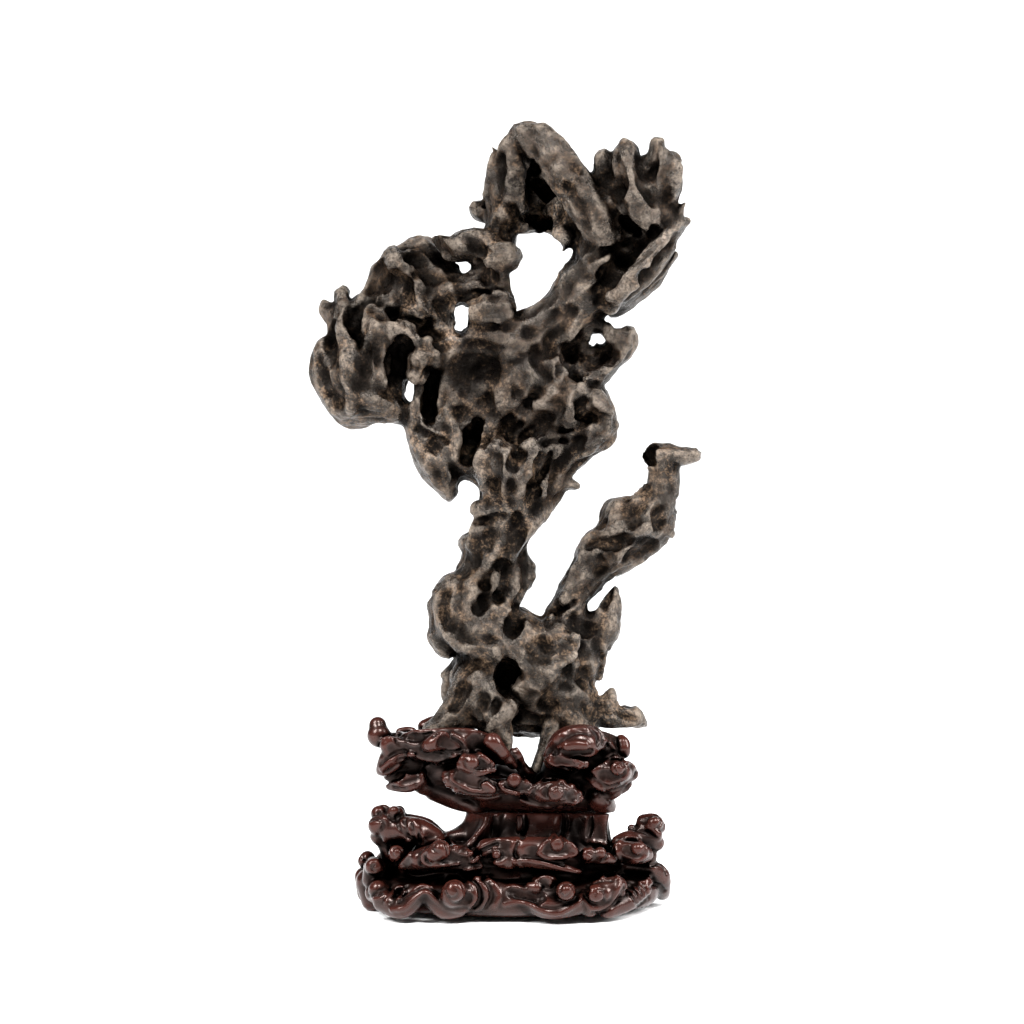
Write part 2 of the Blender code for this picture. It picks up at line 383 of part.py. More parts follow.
def smooth_path(points, steps=3):
    # A Catmull-Rom curve through the points, radius included.
    path = []
    for i in range(len(points) - 1):
        before = points[max(i - 1, 0)]
        start, end = points[i], points[i + 1]
        after = points[min(i + 2, len(points) - 1)]
        for step in range(steps):
            t = step / steps
            path.append(tuple(
                0.5 * (2 * b + (c - a) * t + (2 * a - 5 * b + 4 * c - d) * t * t
                       + (3 * b - a - 3 * c + d) * t ** 3)
                for a, b, c, d in zip(before, start, end, after)))
    path.append(points[-1])
    return path


def add_limb(into, points, deep, place, grow=0.0):
    # Balls along the path with cones between them, then stretched in depth.
    limb = bmesh.new()
    places = []
    for x, v, y, radius in smooth_path(points):
        centre = place(x, v, y)
        centre.y /= deep
        radius = max(radius, 0.8) + grow
        places.append((centre, radius))
        bmesh.ops.create_icosphere(
            limb, subdivisions=2, radius=radius, matrix=Matrix.Translation(centre))
    for (start, wide), (end, narrow) in zip(places, places[1:]):
        along = end - start
        if along.length < 0.5:
            continue
        turn = along.to_track_quat("Z", "Y").to_matrix().to_4x4()
        bmesh.ops.create_cone(
            limb, cap_ends=True, segments=16, radius1=wide, radius2=narrow,
            depth=along.length, matrix=Matrix.Translation((start + end) / 2) @ turn)
    bmesh.ops.scale(limb, vec=(MM, MM * deep, MM), verts=limb.verts)
    mesh = bpy.data.meshes.new("limb")
    limb.to_mesh(mesh)
    limb.free()
    into.from_mesh(mesh)
    bpy.data.meshes.remove(mesh)


def limbs_object(name, limbs, place, depth=1.0, grow=0.0):
    joined = bmesh.new()
    for deep, points in limbs:
        add_limb(joined, points, deep * depth, place, grow)
    mesh = bpy.data.meshes.new(name)
    joined.to_mesh(mesh)
    joined.free()
    made = bpy.data.objects.new(name, mesh)
    bpy.context.scene.collection.objects.link(made)
    return made


def as_guide(guide):
    guide.hide_render = True
    guide.display_type = "WIRE"
    return guide


def fuse(target, voxel, rounds):
    # One skin over all the limbs, with the joints between them softened.
    remesh = target.modifiers.new("fuse", "REMESH")
    remesh.mode = "VOXEL"
    remesh.voxel_size = voxel * MM
    smooth = target.modifiers.new("soften", "SMOOTH")
    smooth.factor = 0.5
    smooth.iterations = rounds


def subtract(target, cutter, label):
    cut = target.modifiers.new(label, "BOOLEAN")
    cut.operation = "DIFFERENCE"
    cut.solver = "EXACT"
    cut.object = cutter


def facet(target, triangles, start):
    thin = target.modifiers.new("facet", "DECIMATE")
    thin.ratio = triangles / start


def evaluated_triangles(target):
    graph = bpy.context.evaluated_depsgraph_get()
    mesh = target.evaluated_get(graph).to_mesh()
    mesh.calc_loop_triangles()
    count = len(mesh.loop_triangles)
    target.evaluated_get(graph).to_mesh_clear()
    return count


def freeze(target):
    # Replace the modifiers by the mesh they make, keeping only its largest body.
    graph = bpy.context.evaluated_depsgraph_get()
    frozen = bpy.data.meshes.new_from_object(target.evaluated_get(graph))
    target.modifiers.clear()
    target.data = frozen


def keep_largest(target):
    work = bmesh.new()
    work.from_mesh(target.data)
    left = set(work.verts)
    bodies = []
    while left:
        seed = left.pop()
        body, edge = {seed}, [seed]
        while edge:
            vert = edge.pop()
            for link in vert.link_edges:
                other = link.other_vert(vert)
                if other in left:
                    left.discard(other)
                    body.add(other)
                    edge.append(other)
        bodies.append(body)
    bodies.sort(key=len)
    for body in bodies[:-1]:
        bmesh.ops.delete(work, geom=list(body), context="VERTS")
    work.to_mesh(target.data)
    work.free()


def box(name, low, high):
    work = bmesh.new()
    bmesh.ops.create_cube(work, size=1.0)
    size = Vector(high) - Vector(low)
    middle = (Vector(high) + Vector(low)) / 2
    bmesh.ops.scale(work, vec=size * MM, verts=work.verts)
    bmesh.ops.translate(work, vec=middle * MM, verts=work.verts)
    mesh = bpy.data.meshes.new(name)
    work.to_mesh(mesh)
    work.free()
    made = bpy.data.objects.new(name, mesh)
    bpy.context.scene.collection.objects.link(made)
    return as_guide(made)


def facet_to(target, triangles):
    count = evaluated_triangles(target)
    if count > triangles:
        facet(target, triangles, count)


def build_stone():
    stone = limbs_object(
        "stone", STONE_LIMBS + STONE_LUMPS, stone_place, STONE_DEPTH, SOFTENING_LOSS)
    fuse(stone, VOXEL_STONE, 3)
    pits = as_guide(limbs_object("pits", STONE_PITS + STONE_WINDOWS, stone_place, STONE_DEPTH))
    remesh = pits.modifiers.new("fuse", "REMESH")
    remesh.mode = "VOXEL"
    remesh.voxel_size = VOXEL_STONE * MM
    subtract(stone, pits, "pits")
    again = stone.modifiers.new("even", "REMESH")
    again.mode = "VOXEL"
    again.voxel_size = VOXEL_STONE * MM
    freeze(stone)
    keep_largest(stone)
    facet_to(stone, STONE_TRIANGLES)
    freeze(stone)
    stone.data.materials.append(material("stone", (0.105, 0.088, 0.072), 0.62))
    return stone


def ring_points(height, radius_x, radius_y, thick, count):
    # A closed loop of points at one height, as drawn on the elevation.
    points = []
    for i in range(count + 1):
        angle = 2 * math.pi * i / count
        x = radius_x * math.cos(angle)
        y = radius_y * math.sin(angle)
        v = height * math.cos(TILT) + y * math.sin(TILT)
        points.append((x, v, y, thick))
    return points


def half_turn(points):
    # The same limb on the far side of the stand, at the same height.
    turned = []
    for x, v, y, radius in points:
        turned.append((-x, v - 2 * y * math.sin(TILT), -y, radius))
    return turned


def back_lobes():
    # The lobes along the front come again along the back.
    lobes = []
    for deep, points in BASE_LOBES:
        if max(point[2] for point in points) <= -40:
            lobes.append((deep, half_turn(points)))
    return lobes


def build_base(wood):
    tiers = [
        (1.0, ring_points(15.5, RING_RADIUS_X, RING_RADIUS_Y, 12, 24)),
        (1.0, ring_points(42, 76, 36, 11, 20)),
    ]
    base = limbs_object(
        "stand_base", tiers + BASE_LOBES + back_lobes(), on_drawing, 1.0, SOFTENING_LOSS)
    fuse(base, VOXEL_STAND, 2)
    freeze(base)
    keep_largest(base)
    facet_to(base, BASE_TRIANGLES)
    floor = box("floor_cut", (-200, -200, -60), (200, 200, 0))
    subtract(base, floor, "floor")
    seam = box("base_seam_cut", (-50, -60, SEAM_HEIGHT - SEAM_HALF_GAP), (82, 60, 140))
    subtract(base, seam, "seam")
    freeze(base)
    base.data.materials.append(wood)
    return base


def build_top(wood, stone):
    top = limbs_object("stand_top", TOP_LOBES, on_drawing, 1.0, SOFTENING_LOSS)
    fuse(top, VOXEL_STAND, 2)
    freeze(top)
    keep_largest(top)
    facet_to(top, TOP_TRIANGLES)
    seam = box("top_seam_cut", (-200, -200, 20), (200, 200, SEAM_HEIGHT + SEAM_HALF_GAP))
    subtract(top, seam, "seam")
    socket = bpy.data.objects.new("socket", stone.data.copy())
    bpy.context.scene.collection.objects.link(socket)
    swell = socket.modifiers.new("gap", "DISPLACE")
    swell.strength = SOCKET_GAP * MM
    swell.mid_level = 0.0
    subtract(top, as_guide(socket), "sockets")
    freeze(top)
    keep_largest(top)
    top.data.materials.append(wood)
    return top


def to_origin(pieces):
    # The origin is the middle of the underside of the box around all the pieces.
    corners = [vert.co for piece in pieces for vert in piece.data.vertices]
    middle_x = (min(c.x for c in corners) + max(c.x for c in corners)) / 2
    middle_y = (min(c.y for c in corners) + max(c.y for c in corners)) / 2
    lowest = min(c.z for c in corners)
    for piece in pieces:
        piece.data.transform(Matrix.Translation((-middle_x, -middle_y, -lowest)))
    print("moved by, mm:", -middle_x / MM, -middle_y / MM, -lowest / MM)


def main():
    clear_scene()
    stone = build_stone()
    wood = material("wood", (0.060, 0.018, 0.012), 0.28)
    base = build_base(wood)
    top = build_top(wood, stone)
    to_origin([stone, top, base])


main()
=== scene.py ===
import math
import time

import bpy
import numpy as np
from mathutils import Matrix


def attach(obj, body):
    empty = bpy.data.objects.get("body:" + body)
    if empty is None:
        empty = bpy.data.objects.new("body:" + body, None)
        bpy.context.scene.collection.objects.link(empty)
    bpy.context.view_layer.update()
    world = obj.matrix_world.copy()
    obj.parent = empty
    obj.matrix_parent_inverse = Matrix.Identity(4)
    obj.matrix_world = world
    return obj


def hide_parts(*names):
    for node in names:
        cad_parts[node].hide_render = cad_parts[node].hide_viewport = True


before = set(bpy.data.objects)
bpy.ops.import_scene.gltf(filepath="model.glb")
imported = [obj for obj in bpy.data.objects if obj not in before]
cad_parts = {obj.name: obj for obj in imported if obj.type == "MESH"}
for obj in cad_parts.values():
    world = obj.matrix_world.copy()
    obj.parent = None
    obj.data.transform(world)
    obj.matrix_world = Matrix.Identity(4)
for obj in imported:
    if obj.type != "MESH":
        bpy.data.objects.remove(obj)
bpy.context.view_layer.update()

import openvdb
from mathutils import Vector

started = time.time()
mm = 0.001

# Shapes are laid out on a drawing of the front: x to the right, v up, both in mm, seen from
# a little above. Depth is measured away from the viewer.
# It is as a lens sees it from lensAway, at lensHeight: what is nearer looks larger.
drawing = {
    "tilt": 6.0,
    "shiftX": 5.597,
    "shiftY": -0.704,
    "lensAway": 3200.0,
    "lensHeight": 300.0,
}
sinTilt = math.sin(math.radians(drawing["tilt"]))
cosTilt = math.cos(math.radians(drawing["tilt"]))

# How each kind of shape is taken: radius factor, blend in mm, takes material away or not.
kinds = {
    "limb": (1.0, 5.0, False),
    "lump": (0.85, 9.0, False),
    "swell": (1.0, 2.0, False),
    "crest": (0.55, 10.0, False),
    "edge": (1.0, 1.5, False),
    "bead": (1.0, 1.5, False),
    "rim": (1.0, 2.5, False),
    "hollow": (1.0, 5.0, True),
    "pit": (1.0, 4.0, True),
    "scoop": (1.0, 1.2, True),
    "groove": (1.0, 2.0, True),
    "bore": (1.0, 1.5, True),
}

# Worked on the front, a dip is a wide ball that only just goes in, a ridge one that just stands out.
dips = ("scoop",)
ridges = ("swell", "edge")
ridgeWidth = 1.3

# In the clay: what empty space reads, where the front is looked for first, the least radii.
clayLimits = {"empty": 40.0, "front": -40.0, "leastRadius": 0.5, "leastOnBend": 0.3, "band": 4.0}


def say(stage):
    print("%5.1f s  %s" % (time.time() - started, stage))


# a smooth curve through (x, v, depth, radius) points
def smoothPath(points, steps=3):
    rows = np.array(points, float)
    if len(rows) < 3:
        return rows
    path = []
    for i in range(len(rows) - 1):
        a, b, c, d = rows[max(i - 1, 0)], rows[i], rows[i + 1], rows[min(i + 2, len(rows) - 1)]
        for t in np.arange(steps) / steps:
            bend = 2 * b + (c - a) * t + (2 * a - 5 * b + 4 * c - d) * t * t
            path.append((bend + (3 * b - a - 3 * c + d) * t ** 3) / 2)
    path.append(rows[-1])
    path = np.array(path)
    path[:, 3] = np.maximum(path[:, 3], clayLimits["leastOnBend"])
    return path


# distance from a round cone whose depth is stretched; y, a and b come unstretched
def coneDistance(x, v, y, a, b, ra, rb, deep):
    run = b - a
    length2 = float(run @ run)
    x, v, y = x - a[0], v - a[1], y - a[2]
    r = ra
    if length2 > 1e-6 and length2 > (ra - rb) ** 2:
        along = x * run[0] + v * run[1] + y * run[2]
        aside2 = np.maximum((x * x + v * v + y * y) * length2 - along * along, 0)
        slope = (ra - rb) / math.sqrt(length2 - (ra - rb) ** 2)
        t = np.clip((along - np.sqrt(aside2) * slope) / length2, 0, 1)
        x, v, y = x - t * run[0], v - t * run[1], y - t * run[2]
        r = ra + (rb - ra) * t
    flat2 = x * x + v * v
    length = np.sqrt(flat2 + y * y) + np.float32(1e-4)
    steep = np.sqrt(flat2 + y * y / (deep * deep)) / length
    return (length - r) / np.maximum(steep, 0.2)


# where something drawn at (x, v) truly lies when it is y behind the middle
def seenAt(x, v, y):
    s = 1 + y / drawing["lensAway"]
    return x * s, drawing["lensHeight"] + (v - drawing["lensHeight"]) * s, y


# a block of distances in mm, below 0 inside, that shapes are added to and cut from
class Clay:
    def __init__(self, low, high, step):
        self.step = step
        self.first = np.floor(np.array(low) / step).astype(int)
        self.count = np.ceil(np.array(high) / step).astype(int) - self.first + 1
        self.body = np.full(self.count, clayLimits["empty"], np.float32)
        self.axes = [
            (step * (self.first[i] + np.arange(self.count[i]))).astype(np.float32)
            for i in range(3)
        ]

    def window(self, low, high):
        a = np.floor(np.array(low) / self.step).astype(int) - self.first
        b = np.ceil(np.array(high) / self.step).astype(int) - self.first + 1
        return np.maximum(a, 0), np.minimum(b, self.count)

    # the block's part around a tube along the path, and the distance from it there
    def tube(self, path, deep, pad):
        squash = np.array([1.0, 1.0, 1.0 / deep])
        reach = np.array([1.0, 1.0, max(deep, 1.0)])
        size = path[:, 3:] * np.array([1.0, 1.0, deep]) + pad * reach
        low, high = self.window((path[:, :3] - size).min(0), (path[:, :3] + size).max(0))
        if (high <= low).any():
            return None
        near = np.full(high - low, clayLimits["empty"], np.float32)
        ends = path[:, :3] * squash
        for i in range(max(len(path) - 1, 1)):
            j = min(i + 1, len(path) - 1)
            a = np.minimum(path[i, :3] - size[i], path[j, :3] - size[j])
            b = np.maximum(path[i, :3] + size[i], path[j, :3] + size[j])
            start, end = self.window(a, b)
            start, end = np.maximum(start, low), np.minimum(end, high)
            if (end <= start).any():
                continue
            x = self.axes[0][start[0] : end[0], None, None]
            v = self.axes[1][None, start[1] : end[1], None]
            y = self.axes[2][None, None, start[2] : end[2]] * np.float32(squash[2])
            d = coneDistance(x, v, y, ends[i], ends[j], path[i, 3], path[j, 3], deep)
            part = tuple(slice(start[k] - low[k], end[k] - low[k]) for k in range(3))
            near[part] = np.minimum(near[part], d)
        return tuple(slice(low[k], high[k]) for k in range(3)), near

    def shape(self, kind, points, deep=1.0, blend=None, place=None):
        factor, usual, takesAway = kinds[kind]
        blend = blend or usual
        path = np.array([(*(place(*p[:3]) if place else p[:3]), p[3]) for p in points], float)
        path[:, 3] = np.maximum(path[:, 3] * factor, clayLimits["leastRadius"])
        found = self.tube(smoothPath(path), deep, blend + 2)
        if found is None:
            return
        part, near = found
        body = self.body[part]
        near = -near if takesAway else near
        lap = np.maximum(blend - np.abs(body - near), 0) / blend
        fillet = lap * lap * blend / 4
        if takesAway:
            self.body[part] = np.maximum(body, near) + fillet
        else:
            self.body[part] = np.minimum(body, near) - fillet

    # points drawn flat, (x, v, r), set on the surface that the viewer meets there
    def onFront(self, points):
        found = []
        for x, v, _, r in smoothPath([(x, v, 0, r) for x, v, r in points], 4):
            y = clayLimits["front"]
            for _ in range(2):
                placeX, placeV, _ = seenAt(x, v, y)
                i = round(placeX / self.step) - self.first[0]
                j = round(placeV / self.step) - self.first[1]
                solid = self.body[max(i - 1, 0) : i + 2, max(j - 1, 0) : j + 2] < 0
                depth = self.axes[2][solid.argmax(2)][solid.any(2)]
                if not len(depth):
                    break
                y = float(np.median(depth))
            if len(depth):
                found.append((placeX, placeV, y, r))
        return found

    # the clay's surface as points on the drawing (mm) and quads that face outwards
    def surface(self):
        grid = openvdb.FloatGrid(clayLimits["empty"])
        grid.copyFromArray(np.ascontiguousarray(self.body))
        points, quads = grid.convertToQuads(0.0)
        points = (points + self.first) * self.step
        return largestBody(points.astype(np.float32), quads[:, ::-1].astype(np.int64))

    # cuts away what lies nearer than gap to a closed surface
    def keepOff(self, points, quads, gap):
        scale = openvdb.createLinearTransform(voxelSize=self.step)
        grid = openvdb.FloatGrid.createLevelSetFromPolygons(
            points.astype(np.float32), None, quads.astype(np.uint32), scale, clayLimits["band"]
        )
        other = np.full(self.count, clayLimits["empty"], np.float32)
        grid.copyToArray(other, ijk=tuple(int(i) for i in self.first))
        self.body = np.maximum(self.body, gap - other)


# drops every loose crumb and keeps the body with the most faces
def largestBody(points, faces):
    label = np.arange(len(points))
    while True:
        low = label[faces].min(1)
        before = label.copy()
        for k in range(faces.shape[1]):
            np.minimum.at(label, faces[:, k], low)
        label = label[label]
        if (label == before).all():
            break
    names, counts = np.unique(label[faces[:, 0]], return_counts=True)
    faces = faces[label[faces[:, 0]] == names[counts.argmax()]]
    used = np.unique(faces)
    place = np.zeros(len(points), np.int64)
    place[used] = np.arange(len(used))
    return points[used], place[faces]


# from the drawing, in mm, to the object's own place, in metres
def onObject(points):
    x, v, y = points[:, 0], points[:, 1], points[:, 2]
    z = (v - y * sinTilt) / cosTilt
    return np.stack([x + drawing["shiftX"], y + drawing["shiftY"], z], 1) * mm


# and back again
def onDrawing(points):
    x = points[:, 0] / mm - drawing["shiftX"]
    y = points[:, 1] / mm - drawing["shiftY"]
    v = points[:, 2] / mm * cosTilt + y * sinTilt
    return np.stack([x, v, y], 1)


def newMesh(name, points, faces):
    mesh = bpy.data.meshes.new(name)
    mesh.vertices.add(len(points))
    mesh.vertices.foreach_set("co", points.astype(np.float32).ravel())
    sides = faces.shape[1]
    mesh.loops.add(len(faces) * sides)
    mesh.loops.foreach_set("vertex_index", faces.astype(np.int32).ravel())
    mesh.polygons.add(len(faces))
    mesh.polygons.foreach_set("loop_start", np.arange(0, len(faces) * sides, sides, dtype=np.int32))
    mesh.update(calc_edges=True)
    mesh.validate()
    piece = bpy.data.objects.new(name, mesh)
    bpy.context.scene.collection.objects.link(piece)
    return piece


def applyModifiers(piece):
    graph = bpy.context.evaluated_depsgraph_get()
    mesh = bpy.data.meshes.new_from_object(piece.evaluated_get(graph))
    piece.modifiers.clear()
    piece.data = mesh


def thinTo(piece, triangles):
    mesh = piece.data
    now = sum(len(p.vertices) - 2 for p in mesh.polygons)
    if now > triangles:
        thin = piece.modifiers.new("thin", "DECIMATE")
        thin.ratio = triangles / now
        applyModifiers(piece)
    piece.data.shade_smooth()


def meshArrays(mesh):
    points = np.empty(len(mesh.vertices) * 3, np.float32)
    mesh.vertices.foreach_get("co", points)
    normals = np.empty(len(mesh.vertices) * 3, np.float32)
    mesh.vertex_normals.foreach_get("vector", normals)
    edges = np.empty(len(mesh.edges) * 2, np.int32)
    mesh.edges.foreach_get("vertices", edges)
    return points.reshape(-1, 3), normals.reshape(-1, 3), edges.reshape(-1, 2)


def storeValue(piece, name, values):
    layer = piece.data.attributes.new(name, "FLOAT", "POINT")
    layer.data.foreach_set("value", values.astype(np.float32))


# the mean of each vertex's neighbours
def nextTo(values, edges, count):
    total = np.zeros((count, values.shape[1]), np.float64)
    a, b = edges[:, 0], edges[:, 1]
    for k in range(values.shape[1]):
        total[:, k] = np.bincount(a, values[b, k], count) + np.bincount(b, values[a, k], count)
    links = np.bincount(a, minlength=count) + np.bincount(b, minlength=count)
    return total / np.maximum(links, 1)[:, None]


# a value for each vertex: above 0.5 on edges and knobs, below it in hollows
def markRelief(piece, name, rounds, gain):
    points, normals, edges = meshArrays(piece.data)
    count = len(points)
    smooth = points.astype(np.float64)
    for _ in range(rounds):
        smooth = nextTo(smooth, edges, count)
    bulge = ((points - smooth) * normals).sum(1) / mm
    bulge = bulge[:, None]
    for _ in range(2):
        bulge = nextTo(bulge, edges, count)
    storeValue(piece, name, np.clip(0.5 + gain * bulge[:, 0], 0, 1))


airReaches = (4, 8, 14, 22)  # how far out the air is felt for, in mm


# how open each place is to the air: 1 on the outside, towards 0 deep in a hole
def markOpenness(piece, clay):
    points, normals, _ = meshArrays(piece.data)
    drawn = onDrawing(points)
    normals = normals[:, [0, 2, 1]]
    total = np.zeros(len(points))
    for reach in airReaches:
        spot = (drawn + normals * reach) / clay.step - clay.first
        spot = np.clip(np.rint(spot).astype(int), 0, clay.count - 1)
        near = clay.body[spot[:, 0], spot[:, 1], spot[:, 2]]
        total += np.clip(near / reach, -0.3, 1) / len(airReaches)
    storeValue(piece, "open", np.clip(total, 0, 1))


def link(tree, source, target):
    tree.links.new(source, target)


def addNode(tree, kind, **settings):
    node = tree.nodes.new(kind)
    for key, value in settings.items():
        setattr(node, key, value)
    return node


def feed(tree, node, name, value):
    socket = node.inputs[name]
    if isinstance(value, bpy.types.NodeSocket):
        tree.links.new(value, socket)
    else:
        socket.default_value = value


def calc(tree, operation, *values):
    node = addNode(tree, "ShaderNodeMath", operation=operation)
    for i, value in enumerate(values):
        feed(tree, node, i, value)
    return node.outputs[0]


def vectorCalc(tree, operation, *values):
    node = addNode(tree, "ShaderNodeVectorMath", operation=operation)
    for i, value in enumerate(values):
        feed(tree, node, i, value)
    return node.outputs[0]


def scaled(tree, vector, factor):
    node = addNode(tree, "ShaderNodeVectorMath", operation="SCALE")
    feed(tree, node, 0, vector)
    feed(tree, node, "Scale", factor)
    return node.outputs["Vector"]


stoneSettings = {
    "voxel": 1.2,
    "block": ((-155, 96, -78), (150, 602, 84)),
    "triangles": 196000,
    "deepening": 1.45,
    "stretch": 4.2,
    "scoopSize": 12.0,
    "scoopDepth": 2.8,
    "dentSize": 5.0,
    "dentDepth": 0.9,
    "pockSize": 4.0,
    "pockDepth": 0.5,
    "seed": 5,
    "twist": (0.15, -0.35, 200, 360),
    "windowReach": 20,
    "relief": (12, 0.22),
    "crease": (3, 0.8),
}

